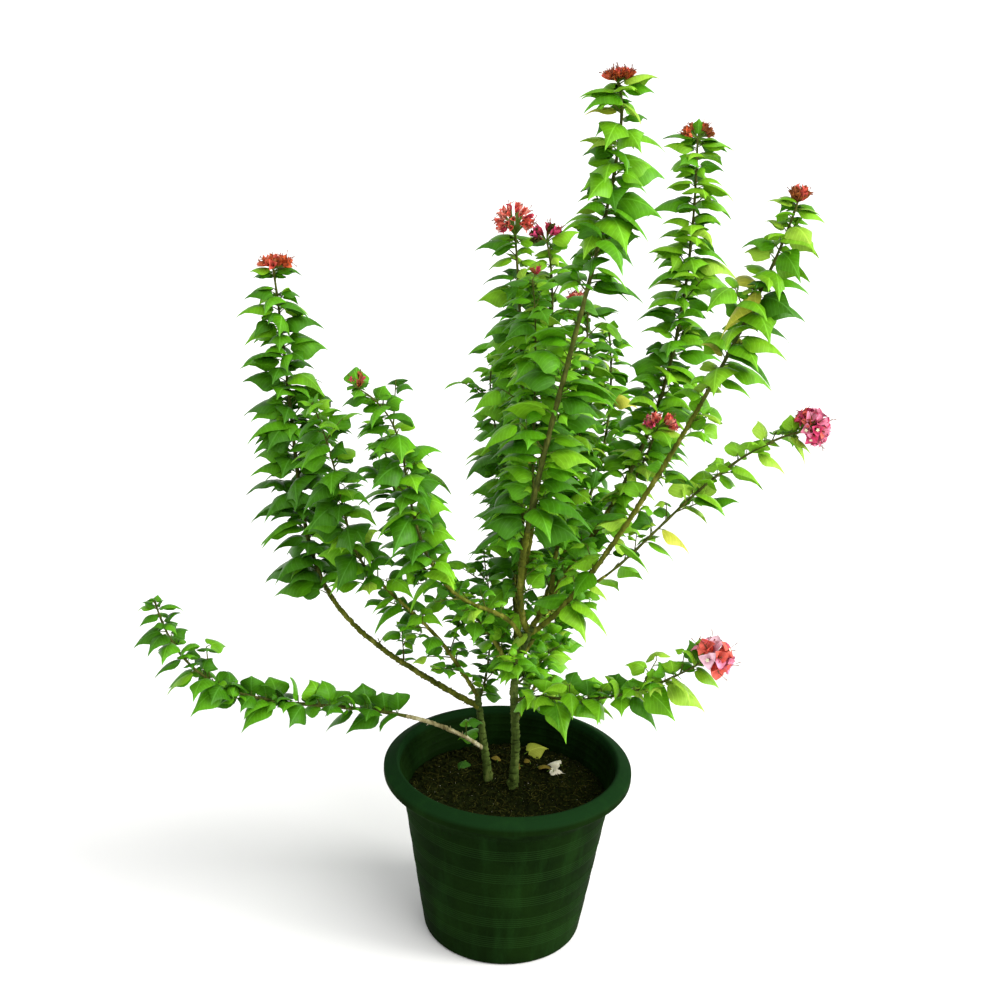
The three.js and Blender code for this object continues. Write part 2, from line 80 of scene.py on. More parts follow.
def placed(name, data):
    """A new object in the scene, with its data"""
    made = bpy.data.objects.new(name, data)
    bpy.context.collection.objects.link(made)
    return made


def add_camera():
    ahead = np.array([0, math.cos(CAMERA_DOWN), -math.sin(CAMERA_DOWN)])
    above = np.array([0, math.sin(CAMERA_DOWN), math.cos(CAMERA_DOWN)])
    right = np.array([1.0, 0, 0])
    x = math.cos(CAMERA_ROLL) * right + math.sin(CAMERA_ROLL) * above
    y = -math.sin(CAMERA_ROLL) * right + math.cos(CAMERA_ROLL) * above
    lens = bpy.data.cameras.new("camera")
    lens.lens, lens.sensor_width, lens.clip_end = LENS, SENSOR, SIGHT_REACH
    camera = placed("camera", lens)
    rows = [[x[k], y[k], -ahead[k], CAMERA_AT[k] * MM] for k in range(3)]
    camera.matrix_world = Matrix(rows + [[0, 0, 0, 1]])
    bpy.context.scene.camera = camera


def add_light(name, at, strength, softness, colour):
    """A far, wide light: softness is how many degrees of the sky it fills"""
    light = bpy.data.lights.new(name, "SUN")
    light.energy, light.angle, light.color = strength, math.radians(softness), colour
    holder = placed(name, light)
    holder.location = at
    holder.rotation_euler = (-Vector(at)).to_track_quat("-Z", "Y").to_euler()


def add_world():
    """A white room, brightest round the horizon so that it runs into the floor"""
    world = bpy.data.worlds.new("room")
    world.use_nodes = True
    nodes = Nodes(world.node_tree)
    where = nodes.node("TexCoord").outputs["Generated"]
    strength = nodes.spread(nodes.part(where, "Z"), HORIZON, ROOM_LIGHT)
    nodes.feed(world.node_tree.nodes["Background"], {"Strength": strength, "Color": grey(1.0)})
    bpy.context.scene.world = world


def add_floor():
    mesh = bpy.data.meshes.new("floor")
    corners = [(x * FLOOR_REACH, y * FLOOR_REACH, 0) for x, y in ((-1, -1), (1, -1), (1, 1), (-1, 1))]
    mesh.from_pydata(corners, [], [(0, 1, 2, 3)])
    mesh.materials.append(floor_material())
    placed("floor", mesh)


# Colours and the nodes of materials

def linear(hex_colour, times=1.0, plus=0.0):
    """An RGBA colour for a socket from the six digits of a screen colour, made lighter or darker"""
    found = []
    for k in (0, 2, 4):
        value = int(hex_colour[k:k + 2], 16) / 255
        value = value / 12.92 if value <= 0.04045 else ((value + 0.055) / 1.055) ** 2.4
        found.append(min(value * times + plus, 1.0))
    return (*found, 1.0)


def grey(level):
    return (level, level, level, 1.0)


class Nodes:
    """The nodes of a material or of the world"""

    def __init__(self, tree):
        self.tree = tree

    def feed(self, node, values):
        """Links or sets a node's inputs, by name or by number"""
        for key, value in values.items():
            if isinstance(value, bpy.types.NodeSocket):
                self.tree.links.new(value, node.inputs[key])
            else:
                node.inputs[key].default_value = value

    def node(self, kind, values=None, **settings):
        made = self.tree.nodes.new("ShaderNode" + kind)
        for key, value in settings.items():
            setattr(made, key, value)
        self.feed(made, values or {})
        return made

    def part(self, vector, axis):
        """One coordinate of a vector"""
        return self.node("SeparateXYZ", {"Vector": vector}).outputs[axis]

    def spread(self, value, before=(0.0, 1.0), after=(0.0, 1.0)):
        """A value of one range put on another"""
        names = ("From Min", "From Max", "To Min", "To Max")
        return self.node("MapRange", {"Value": value, **dict(zip(names, before + after))}).outputs["Result"]


class Shade(Nodes):
    """A material's nodes, with a Principled shader ready"""

    MIX_INPUTS = (0, 6, 7)
    MIX_RESULT = 2

    def __init__(self, name, roughness, specular):
        self.material = bpy.data.materials.new(name)
        self.material.use_nodes = True
        super().__init__(self.material.node_tree)
        self.shader = self.tree.nodes["Principled BSDF"]
        self.feed(self.shader, {"Roughness": roughness, "Specular IOR Level": specular})

    def place(self, stretch=1.0):
        """The point on the object, with its height scaled"""
        where = self.node("TexCoord").outputs["Object"]
        return self.node("Mapping", {"Vector": where, "Scale": (1, 1, stretch)}).outputs["Vector"]

    def flat_map(self, axis):
        """A coordinate of the mesh's own flat map"""
        return self.part(self.node("UVMap", uv_map="uv").outputs["UV"], axis)

    def noise(self, where, scale, detail=3.0, rough=0.5):
        values = {"Vector": where, "Scale": scale, "Detail": detail, "Roughness": rough}
        return self.node("TexNoise", values).outputs["Fac"]

    def ramp(self, factor, *stops):
        made = self.node("ValToRGB", {"Fac": factor})
        elements = made.color_ramp.elements
        while len(elements) < len(stops):
            elements.new(0.5)
        for element, stop in zip(elements, stops):
            element.position, element.color = stop
        return made.outputs["Color"]

    def mixed(self, factor, a, b):
        made = self.node("Mix", data_type="RGBA")
        self.feed(made, dict(zip(self.MIX_INPUTS, (factor, a, b))))
        return made.outputs[self.MIX_RESULT]

    def maths(self, how, *values):
        return self.node("Math", dict(enumerate(values)), operation=how).outputs["Value"]

    def colour(self, source):
        self.feed(self.shader, {"Base Color": source})

    def bump(self, height, strength, distance):
        values = {"Height": height, "Strength": strength, "Distance": distance}
        self.feed(self.shader, {"Normal": self.node("Bump", values).outputs["Normal"]})


# Meshes

class Heap:
    """Points and faces gathered for one joined mesh"""

    def __init__(self):
        self.points, self.faces, self.uvs, self.count = [], [], [], 0

    def add(self, points, faces, uvs=None):
        self.points.append(np.asarray(points, float))
        self.faces.extend([tuple(int(i) + self.count for i in face) for face in faces])
        self.uvs.append(np.zeros((len(points), 2)) if uvs is None else np.asarray(uvs, float))
        self.count += len(points)

    def make(self, name, material, slot, replaced=(), smooth=True):
        mesh = bpy.data.meshes.new(name)
        mesh.from_pydata((np.concatenate(self.points) * MM).tolist(), [], self.faces)
        layer = mesh.uv_layers.new(name="uv")
        corners = np.empty(len(mesh.loops), np.int32)
        mesh.loops.foreach_get("vertex_index", corners)
        layer.data.foreach_set("uv", np.concatenate(self.uvs)[corners].ravel())
        mesh.polygons.foreach_set("use_smooth", [smooth] * len(mesh.polygons))
        mesh.validate()
        mesh.materials.append(material)
        made = placed(name, mesh)
        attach(made, "root")
        if replaced:
            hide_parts(*replaced)


def unit(v):
    return v / np.linalg.norm(v)


def heading(turn, rise):
    turn, rise = math.radians(turn), math.radians(rise)
    return np.array([math.cos(rise) * math.cos(turn), math.cos(rise) * math.sin(turn), math.sin(rise)])


def rotated(v, axis, angle):
    """v turned about a unit axis"""
    c, s = math.cos(angle), math.sin(angle)
    return v * c + np.cross(axis, v) * s + axis * np.dot(axis, v) * (1 - c)


def sideways(along, angle, hint=heading(17, 3)):
    """A direction square to another one, turned about it by an angle"""
    across = unit(np.cross(along, hint))
    return across * math.cos(angle) + np.cross(along, across) * math.sin(angle)


def run_of(points):
    """How far along a line each of its points lies"""
    return np.concatenate([[0], np.cumsum(np.linalg.norm(np.diff(points, axis=0), axis=1))])


def tangents_of(points):
    found = np.gradient(points, axis=0)
    return found / np.linalg.norm(found, axis=1)[:, None]


def walk(place, end, step):
    """Places up to an end, each one a step on from the last"""
    while place < end:
        yield place
        place += step(place)


def circle(turns):
    angles = np.arange(turns) * 2 * math.pi / turns
    return np.column_stack([np.cos(angles), np.sin(angles)])


def grid(rows, columns):
    """The faces of a sheet of points, row by row"""
    return [(a, a + 1, a + columns + 1, a + columns)
            for i in range(rows - 1) for a in range(i * columns, (i + 1) * columns - 1)]


def add_skin(heap, foot, rings, top, uvs=None):
    """A closed skin over rings of points, from a foot point up and round to a top point"""
    turns = len(rings[0])
    last = 1 + (len(rings) - 1) * turns
    faces = []
    for j in range(turns):
        k = (j + 1) % turns
        faces.append((0, 1 + k, 1 + j))
        faces.extend((a + j, a + k, a + turns + k, a + turns + j) for a in range(1, last, turns))
        faces.append((last + j, last + k, last + turns))
    heap.add(np.vstack([foot, *rings, top]), faces, uvs)


# Pot: a turned profile of radii and heights

POT_HEIGHT = 225
BASE_RADIUS = 97
FOOT_ROUND = 5
BODY_TOP_RADIUS = 126.5
BODY_TOP_HEIGHT = 190
BODY_ROWS = (7.0, 186.5)
RIM_RADIUS = 150
OPENING_RADIUS = 132
OPENING_TAPER = 0.24
WALL = 3
FLOOR_TOP = 4
GAP = 0.3
RIDGE_BANDS = ((160, 175), (126, 141), (91, 107), (59, 74), (27, 44))
RIDGE_PITCH = 3.0
RIDGE_STEP = 0.5
PLAIN_STEP = 2.5
RIDGE_HEIGHT = 0.35
RIB_ROWS = (218, 186, -0.9)
RIB_TOP = 214
RIB_PITCH = 9.0
RIB_DEPTH = 0.7
POT_TURNS = 160


def bent(start, corner, end, steps=5):
    """Points of a rounded corner of a profile"""
    t = np.linspace(0, 1, steps)[:, None]
    start, corner, end = (np.array(p, float) for p in (start, corner, end))
    return [tuple(p) for p in (1 - t) ** 2 * start + 2 * t * (1 - t) * corner + t * t * end]


def wall_radius(z):
    return BASE_RADIUS + (BODY_TOP_RADIUS - BASE_RADIUS) * z / BODY_TOP_HEIGHT


def ridge(z):
    """How far the outer wall's fine ridges stand out at a height"""
    for low, high in RIDGE_BANDS:
        if low <= z <= high:
            return RIDGE_HEIGHT * (0.5 - 0.5 * math.cos(2 * math.pi * (z - low) / RIDGE_PITCH))
    return 0.0


def row_step(z):
    """The wall's rows stand close together in the ridge bands"""
    return RIDGE_STEP if any(low - 1 <= z <= high + 1 for low, high in RIDGE_BANDS) else PLAIN_STEP


def pot_profile():
    """The foot and the body, the collar, the rolled lip, then the ribbed inside down to the floor"""
    low, high = FOOT_ROUND, BODY_ROWS[1]
    outside = [(0, 1.5), (82, 1.5), (85, 0)]
    outside += bent((BASE_RADIUS - low, 0), (BASE_RADIUS, 0), (wall_radius(low), low))
    outside += [(wall_radius(z) + ridge(z), z) for z in walk(*BODY_ROWS, row_step)]
    outside += bent((wall_radius(high), high), (BODY_TOP_RADIUS, BODY_TOP_HEIGHT), (129.5, 193.5))
    outside += bent((143, 208), (146.3, 211.2), (146.8, 210.2), 3)
    outside += bent((148, 209.6), (RIM_RADIUS, 209.8), (RIM_RADIUS, 212.5), 4)
    outside += bent((RIM_RADIUS, 217.5), (RIM_RADIUS, 219.8), (RIM_RADIUS - 2, 220.8))
    outside += bent((RIM_RADIUS - 5, 222.4), (RIM_RADIUS - 9, 224.8), (RIM_RADIUS - 13, 226.2))
    inside = bent((OPENING_RADIUS + 4, POT_HEIGHT + 1.6), (OPENING_RADIUS + 0.6, POT_HEIGHT + 2.4),
                  (OPENING_RADIUS - 0.3, POT_HEIGHT - 1.5), 6)
    for z in np.arange(*RIB_ROWS):
        rib = RIB_DEPTH * max(0.0, math.cos(2 * math.pi * (z - RIB_TOP) / RIB_PITCH)) ** 3
        inside.append((OPENING_RADIUS - 0.6 - (221 - z) * OPENING_TAPER - rib, z))
    inside += [(wall_radius(z) - WALL, z) for z in (184, FLOOR_TOP)]
    return outside + inside + [(0, FLOOR_TOP)]


def potwork(material):
    """The pot, with its map's second coordinate at 1 on the ridges' crests"""
    profile = pot_profile()
    ring = circle(POT_TURNS)
    rings = [np.column_stack([ring * r, np.full(POT_TURNS, z)]) for r, z in profile[1:-1]]
    marks = [ridge(z) / RIDGE_HEIGHT if abs(r - wall_radius(z) - ridge(z)) < 0.01 else 0.0 for r, z in profile]
    across = [0, *np.tile(np.arange(POT_TURNS) / POT_TURNS, len(rings)), 0]
    uvs = np.column_stack([across, [marks[0], *np.repeat(marks[1:-1], POT_TURNS), marks[-1]]])
    heap = Heap()
    add_skin(heap, (0, 0, profile[0][1]), rings, (0, 0, profile[-1][1]), uvs)
    heap.make("pot_shell", material, "pot_plastic", ("pot",))


# Soil

SOIL_TOP = 182
SOIL_TURNS = 200
SOIL_RINGS = 80
SOIL_ROUGH = 0.7
SOIL_SINK = 1.5
EDGE_SINK = 2.0
EDGE_START = 105
EDGE_WIDTH = 17
WALL_GAP = WALL + GAP + 0.1
STEM_FEET = ((-22, 19), (7, 5))
MOUND_HEIGHT = 3.0
MOUND_SPREADS = (700, 900)

# Height of each lump, then how two waves run: their number along x and along y, and their start
LUMPS = (
    (0.9, (0.21, 0, 1.3), (0, 0.17, 0.4)), (0.7, (0.43, -0.31, 2.0), (0, 0, math.pi / 2)),
    (0.5, (0.83, 0.71, 0), (-0.9, 0.37, 1.1)), (0.45, (1.3, 0, 0.4), (0.3, 1.1, 1.9)),
    (0.35, (2.3, -0.8, 0), (0.7, 2.1, 0.6)),
)


def soil_height(x, y):
    """Height of the soil's lumpy surface, a little mounded round the two stems and lower at the wall"""
    height = SOIL_TOP - SOIL_SINK - EDGE_SINK * np.clip((np.hypot(x, y) - EDGE_START) / EDGE_WIDTH, 0, 1)
    for size, *waves in LUMPS:
        for along_x, along_y, start in waves:
            size = size * np.sin(along_x * x + along_y * y + start)
        height = height + size
    for foot, spread in zip(STEM_FEET, MOUND_SPREADS):
        height = height + MOUND_HEIGHT * np.exp(-((x - foot[0]) ** 2 + (y - foot[1]) ** 2) / spread)
    return height


def add_soil(material):
    rand = np.random.default_rng(31)
    ring = circle(SOIL_TURNS)
    reach = wall_radius(SOIL_TOP) - WALL_GAP
    rings = []
    for i in range(1, SOIL_RINGS + 1):
        x, y = reach * i / SOIL_RINGS * ring.T
        height = soil_height(x, y) + rand.uniform(-SOIL_ROUGH, SOIL_ROUGH, SOIL_TURNS)
        rings.append(np.column_stack([x, y, height]))
    low = FLOOR_TOP + GAP
    rings.append(np.column_stack([ring * (wall_radius(low) - WALL_GAP), np.full(SOIL_TURNS, low)]))
    heap = Heap()
    add_skin(heap, (0, 0, low), rings[::-1], (0, 0, soil_height(0, 0)))
    heap.make("soil_surface", material, "potting_mix", ("soil",))


# Limbs: the same table, curves and sizes as the solids

FLARE = 0.7
FLARE_LENGTH = 14
GOLDEN_TURN = 137.5
LEAF_WIDTH = 0.66
LEAF_DROOP = 0.55
LEVEL_LIFT = 0.9
LEVEL_STIFFNESS = 0.55
FIRST_LEAF = 10
SPACE_MARGIN = 3
LIMB_CLEARANCE = 4
FINE_MARGIN = 0.3
FINE_CLEARANCE = 2.5
OWN_WOOD_GAP = 0.5
OTHER_GAP = 2
TWIG_EVERY = 7
TWIG_LENGTH = 42
TWIG_RADIUS = 0.9
TWIG_FORWARD = 0.8
TWIG_LEAVES = ((0.5, 100), (0.75, 250), (0.98, 20))
CURVE_STEPS = 400
SAMPLE_STEP = 5


def seeded(seed):
    """The same repeatable run of numbers as the solids' leaves use"""
    state = [seed & 0xFFFFFFFF]

    def draw():
        state[0] = (state[0] + 0x6D2B79F5) & 0xFFFFFFFF
        s = state[0]
        mixed = ((s ^ (s >> 15)) * (1 | s)) & 0xFFFFFFFF
        mixed = ((mixed + (((mixed ^ (mixed >> 7)) * (61 | mixed)) & 0xFFFFFFFF)) & 0xFFFFFFFF) ^ mixed
        return ((mixed ^ (mixed >> 14)) & 0xFFFFFFFF) / 4294967296

    return draw


class Limb:
    """A limb's bend, thickness and leaves, and its look: thin is the bark's radius against the solid's, full
    how close its finer leaves stand, size how large they are, tone their shares of greens, sprigs the spacing
    of twigs on its bare stretch, whorl the size of the leaves round its tip, level whether those lie flat,
    and lift how upright its head stands"""

    def __init__(self, name, parent, at, tip, leave, arrive, thick, bare, leaf=None, head=None, thin=0.88,
                 full=1.0, size=1.0, tone="middle", sprigs=18, whorl=0.85, level=False, lift=0.3):
        self.index, self.name, self.parent, self.at = len(limbs), name, limbs.get(parent), at
        self.thick, self.bare, self.leaf, self.head, self.thin, self.full = thick, bare, leaf, head, thin, full
        self.size, self.tone, self.sprigs = size, tone, sprigs
        self.whorl, self.level, self.lift = whorl, level, lift
        start = self.parent.point(at) if parent else np.array([*at, SOIL_TOP + GAP], float)
        tip = np.array(tip, float)
        self.ends = np.array([start, start + heading(*leave[:2]) * leave[2],
                              tip - heading(*arrive[:2]) * arrive[2], tip])
        self.shares = np.linspace(0, 1, CURVE_STEPS + 1)
        self.run = run_of(self.bezier(self.shares))
        self.length = self.run[-1]

    def bezier(self, t):
        t = np.atleast_1d(t)[:, None]
        a, b, c, d = self.ends
        return (1 - t) ** 3 * a + 3 * (1 - t) ** 2 * t * b + 3 * (1 - t) * t * t * c + t ** 3 * d

    def points(self, shares):
        return self.bezier(np.interp(np.asarray(shares) * self.length, self.run, self.shares))

    def point(self, share):
        return self.points([share])[0]

    def tangent(self, share):
        a, b = self.points([max(0, share - 0.002), min(1, share + 0.002)])
        return unit(b - a)

    def radius(self, share):
        foot, tip = self.thick
        flare = 0 if self.parent else FLARE * np.exp(-np.asarray(share) * self.length / FLARE_LENGTH)
        return (foot + (tip - foot) * np.asarray(share)) / 2 * (1 + flare)

    def drawn_radii(self, shares):
        """The bark's radius, thinnest against the solid at the foot of a leafy limb"""
        top = 1.0 if 0 < self.bare < 1 else self.thin
        return self.radius(shares) * (self.thin + (top - self.thin) * np.asarray(shares))

    def seat(self, share):
        """What a leaf or twig needs of the place where it grows"""
        return self, self.point(share), self.tangent(share), self.radius(share)


limbs = {}


def limb(name, *shape, **look):
    limbs[name] = Limb(name, *shape, **look)


# Parent and share of its length (or foot), tip, turn, rise and pull where it leaves and where it arrives;
# thickness at both ends, bare share, spacing and low and high length of its leaves, head, look
limb("stem_left", None, STEM_FEET[0], (-40, 45, 295), (117, 68, 70), (110, 78, 20),
     (11, 9), 1, thin=0.86, sprigs=40)
limb("stem_right", None, STEM_FEET[1], (20, 10, 395), (27, 86, 130), (348, 72, 105),
     (13, 11.5), 1, thin=0.8)
limb("left_low", "stem_left", 0.34, (-410, -40, 435), (195, 41, 195), (185, 78, 210),
     (7, 2.4), 0.24, (17, 54, 40), thin=0.75, full=0.85, tone="dark", sprigs=50)
limb("left_tall", "stem_left", 0.8, (-290, 90, 795), (174, 26, 285), (161, 82, 380),
     (9, 2.6), 0.38, (16, 62, 44), "flat", thin=0.82, full=1.4, size=1.22, tone="dark", sprigs=60, whorl=0.5,
     lift=0.7)
limb("left_inner", "stem_left", 0.92, (-165, 5, 455), (200, 59, 125), (191, 47, 125),
     (7, 4.6), 1, thin=0.75, sprigs=10)
limb("left_inner_top", "left_inner", 1, (-230, -30, 670), (191, 47, 60), (180, 67, 105),
     (4.6, 2), 0, (13, 62, 38), thin=0.78, full=1.1, size=1.05, tone="shaded")
limb("left_sprig", "stem_left", 0.88, (-25, 100, 365), (60, 30, 25), (70, 78, 30),
     (4, 1.8), 0, (16, 40, 30), full=1.6, tone="shaded")
limb("left_tall_sprig", "left_tall", 0.17, (-135, 58, 370), (90, 85, 15), (100, 85, 15),
     (2.6, 1.4), 0, (11, 30, 26), tone="shaded")
limb("left_inner_sprig", "left_inner", 0.34, (-64, 42, 388), (60, 65, 15), (40, 75, 15),
     (2.6, 1.4), 0, (10, 32, 28), tone="shaded")
limb("left_inner_spur", "left_inner", 0.2, (-96, 12, 334), (200, 20, 12), (215, 0, 12),
     (2.6, 1.4), 0, (11, 30, 26), tone="shaded")
limb("arch_front", "stem_right", 0.89, (-95, -60, 500), (239, 61, 95), (207, 63, 95),
     (8, 5.6), 1, thin=0.68, sprigs=9)
limb("arch_front_top", "arch_front", 1, (-175, -110, 710), (207, 63, 105), (192, 28, 80),
     (5.6, 2.2), 0, (12, 66, 42), "tuft", thin=0.7, full=0.8, tone="shaded", whorl=0.5, level=True, lift=0.6)
limb("arch_back", "stem_right", 0.66, (-110, 50, 450), (145, 59, 105), (173, 53, 55),
     (7, 5), 1, thin=0.75, sprigs=8)
limb("arch_back_top", "arch_back", 1, (-170, 80, 620), (173, 53, 55), (238, 41, 20),
     (5, 2), 0, (12, 60, 38), thin=0.78, full=0.8, tone="shaded")
limb("stem_sprig", "stem_right", 0.72, (3, -22, 372), (255, 45, 10), (230, 60, 10),
     (2.6, 1.4), 0, (9, 32, 28))
limb("middle_twig", "arch_back", 0.23, (-40, 140, 445), (98, 19, 90), (106, 67, 40),
     (3, 1.6), 0, (16, 44, 32), full=1.5, tone="shaded")
limb("centre_left", "stem_right", 0.55, (-15, 150, 835), (95, 62, 95), (135, 81, 325),
     (8, 2.6), 0.3, (16, 63, 46), "ball", full=1.35, size=1.12, tone="shaded", sprigs=9)
limb("centre_thin", "centre_left", 0.18, (-35, 215, 670), (91, 41, 195), (40, 65, 60),
     (5, 2), 0.25, (14, 58, 38), full=0.8, tone="shaded", sprigs=12)
limb("leader", "stem_right", 0.97, (75, -130, 1020), (197, 58, 105), (168, 63, 80),
     (11.5, 2.6), 0.22, (16, 66, 42), "crown", thin=0.66, full=1.25, size=1.16, level=True, lift=0.75)
limb("centre", "leader", 0.08, (20, 70, 840), (60, 73, 205), (206, 69, 50),
     (6.5, 2.4), 0.32, (15, 61, 46), "pair", thin=0.8, full=1.5, size=1.14, sprigs=11)
limb("centre_small", "centre", 0.26, (5, 5, 808), (250, 55, 60), (150, 80, 90),
     (3.6, 1.8), 0, (19, 46, 38), "bud", full=1.4, size=1.15)
limb("right_tall", "stem_right", 0.96, (270, -60, 910), (357, 21, 70), (15, 78, 120),
     (10.5, 2.4), 0.6, (16, 60, 42), "tuft", thin=0.62, full=1.1, size=1.1, tone="light", sprigs=24, whorl=0.7)
limb("right_long", "right_tall", 0.14, (320, 50, 635), (10, 14, 65), (2, 17, 115),
     (6, 2.6), 0.12, (16, 52, 44), "ball", thin=0.55, full=0.55, tone="light", sprigs=40)
limb("right_back", "stem_right", 0.92, (195, 190, 950), (50, 47, 165), (105, 82, 390),
     (9, 2.6), 0.33, (17, 64, 46), "pair", thin=0.78, full=1.3, size=1.2, tone="sunny", sprigs=11, level=True)
limb("centre_back", "right_back", 0.1, (75, 150, 750), (118, 69, 55), (110, 82, 210),
     (6, 2.2), 0.15, (14, 62, 44), "tuft", full=1.25, size=1.08)
limb("right_inner", "right_back", 0.31, (160, 70, 630), (346, 28, 15), (322, 73, 65),
     (4, 2.4), 0, (16, 50, 40), "pair", tone="light")
limb("right_low", "stem_right", 0.52, (205, -130, 425), (329, 57, 45), (339, 41, 170),
     (5, 2.4), 0, (15, 56, 44), "open", full=0.8, tone="sunny")
limb("right_sprig", "stem_right", 0.63, (70, 90, 345), (55, 5, 65), (36, 14, 40),
     (3, 1.6), 0, (16, 34, 28), full=1.5)
limb("back_left", "centre_left", 0.13, (-5, 310, 730), (94, 35, 275), (67, 73, 100),
     (6.5, 2.2), 0.3, (18, 64, 44))
limb("back_right", "right_back", 0.07, (115, 330, 690), (92, 33, 55), (117, 72, 215),
     (6.5, 2.2), 0.25, (16, 66, 44))
limb("back_middle", "stem_right", 0.8, (60, 360, 545), (55, 20, 100), (88, 65, 165),
     (6.5, 2.2), 0.35, (18, 64, 44))
limb("back_low", "stem_right", 0.42, (95, 270, 340), (50, 35, 110), (30, 10, 60),
     (5, 2), 0.2, (17, 58, 44))


# The space of each shoot

def sampled(line, start, end):
    """Points, radii and the limb's number along a stretch of a limb"""
    count = max(3, math.ceil(line.length * (end - start) / SAMPLE_STEP))
    shares = start + (end - start) * np.arange(count + 1) / count
    return np.column_stack([line.points(shares), line.radius(shares), np.full(count + 1, line.index)])


leafy = np.concatenate([sampled(line, line.bare, 1) for line in limbs.values() if line.bare < 1])
wood = np.concatenate([sampled(line, 0, line.bare) for line in limbs.values() if line.bare > 0])


def gaps_to(rows, points):
    """How far each point is from each sampled row's surface"""
    return np.linalg.norm(points[:, None] - rows[None, :, :3], axis=2) - rows[:, 3]


def clear_of_pot(points):
    away = np.hypot(points[:, 0], points[:, 1])
    outside = (away > RIM_RADIUS + SPACE_MARGIN) | (points[:, 2] > POT_HEIGHT + SPACE_MARGIN)
    inside = (away < BODY_TOP_RADIUS - 10) & (points[:, 2] > SOIL_TOP + SPACE_MARGIN)
    return bool((outside | inside).all())


def keeps_to_its_space(points, line, margin=SPACE_MARGIN, clearance=LIMB_CLEARANCE):
    """Whether points stay nearer to their own shoot than to any other, and clear of the wood and the pot"""
    if gaps_to(wood, points).min() < clearance:
        return False
    gaps, own = gaps_to(leafy, points), leafy[:, 4] == line.index
    if (gaps[:, ~own].min(axis=1) < gaps[:, own].min(axis=1) + margin).any():
        return False
    return clear_of_pot(points)


def keeps_closely(points, line):
    """The same with the narrower gaps that finer leaves need"""
    return keeps_to_its_space(points, line, FINE_MARGIN, FINE_CLEARANCE)


def clear_of_wood(points, line):
    """Whether points on a bare limb's own sprig stay off it, off the other wood and off the leafy shoots"""
    gaps, own = gaps_to(wood, points), wood[:, 4] == line.index
    if gaps[:, ~own].min() < OTHER_GAP or gaps[:, own].min() < OWN_WOOD_GAP:
        return False
    return gaps_to(leafy, points).min() > OTHER_GAP and clear_of_pot(points)


# Wood: tubes with the bark's furrows, swellings and spines

BARK_WAVES = (1.0, 0.8, 0.6, 0.5)
FOOT_CUT = 0.2
FOOT_SINK = 5
COLLAR = 0.25
COLLAR_LENGTH = 7
KNOTS = 0.08
STEM_KNOTS = 0.04
KNOT_SPACING = (11, 24)
THORN_SPACING = (14, 30)
THORN_LENGTH = (3, 6.5)
THORN_RADIUS = 0.75
THORN_LIMIT = 5.2
THORN_SHARE = 0.6

# Kind of wood, sides, spacing of the rings, and the bark's depth
BARK_KINDS = (("stem", 26, 1.6, 0.03), ("bough", 18, 1.8, 0.07), ("pale_bough", 18, 1.8, 0.07))


def tube(heap, centres, radii, sides, relief=0.0, seed=0, close=True):
    """A tube through points; relief is the bark's depth as a share of the radius"""
    rand = np.random.default_rng(seed)
    centres = np.asarray(centres, float)
    tangents, run = tangents_of(centres), run_of(centres)
    across = np.cross(tangents[0], [0.31, -0.95, 0.05])
    angles = np.arange(sides) * 2 * math.pi / sides
    cos, sin = circle(sides).T[:, :, None]
    waves = [(rand.integers(2, 6), rand.uniform(-0.12, 0.12), rand.uniform(0, 6.3), w) for w in BARK_WAVES]
    points, uvs = [], []
    for centre, radius, tangent, along in zip(centres, radii, tangents, run):
        across = unit(across - tangent * np.dot(across, tangent))
        grain = 0.5 * sum(w * np.sin(k * angles + f * along + p) for k, f, p, w in waves)
        swell = 1 + relief * (grain + rand.uniform(-0.5, 0.5, sides) + 0.5 * math.sin(along / 5.3 + seed))
        ring = (cos * across + sin * np.cross(tangent, across)) * (radius * swell)[:, None]
        points.extend((centre + ring).tolist())
        uvs.extend(np.column_stack([angles / 6.2832, np.full(sides, along / 100)]).tolist())
    last = len(points) - sides
    faces = [(a + j, a + (j + 1) % sides, a + sides + (j + 1) % sides, a + sides + j)
             for a in range(0, last, sides) for j in range(sides)]
    if close:
        faces += [range(sides - 1, -1, -1), range(last, last + sides)]
    heap.add(points, faces, uvs)


def spine(heap, root, direction, length, radius):
    """A short curved thorn"""
    tip = root + direction * length - UP * 0.18 * length
    middle = root + direction * length * 0.5
    tube(heap, [root - direction * radius, middle, tip], [radius, radius * 0.55, radius * 0.08], 5)


def add_wood(heap, line, sides, step, relief):
    """A limb's bare stretch with a collar where it leaves its parent, knots and thorns"""
    rand = np.random.default_rng(line.index)
    reach = line.bare * line.length
    count = max(4, int(reach / step))
    shares = np.linspace(0, line.bare, count + 1)
    away = shares * line.length
    radii = line.drawn_radii(shares)
    if not line.parent:
        radii = radii * (1 - FOOT_CUT * np.exp(-away / FLARE_LENGTH))
    elif line.at < 1:
        radii = radii * (1 + COLLAR * np.exp(-away / COLLAR_LENGTH))
    knot, place = KNOTS if line.parent else STEM_KNOTS, 0.0
    while place < away[-1]:
        place += rand.uniform(*KNOT_SPACING)
        radii = radii * (1 + knot * np.exp(-((away - place) / 2.0) ** 2))
    centres = line.points(shares)
    if not line.parent:
        centres[0, 2] -= FOOT_SINK
    centres[1:-1] += rand.normal(0, 0.12, (len(centres) - 2, 3)) * radii[1:-1, None]
    tube(heap, centres, radii, sides, relief, line.index)
    for place in walk(18, reach - 6, lambda _: rand.uniform(*THORN_SPACING)):
        _, at, along, radius = line.seat(place / line.length)
        if radius < THORN_LIMIT and rand.random() < THORN_SHARE:
            side = unit(np.cross(along, unit(rand.normal(0, 1, 3))))
            way = unit(side + 0.35 * along)
            spine(heap, at + side * radius * 0.8, way, rand.uniform(*THORN_LENGTH), THORN_RADIUS)


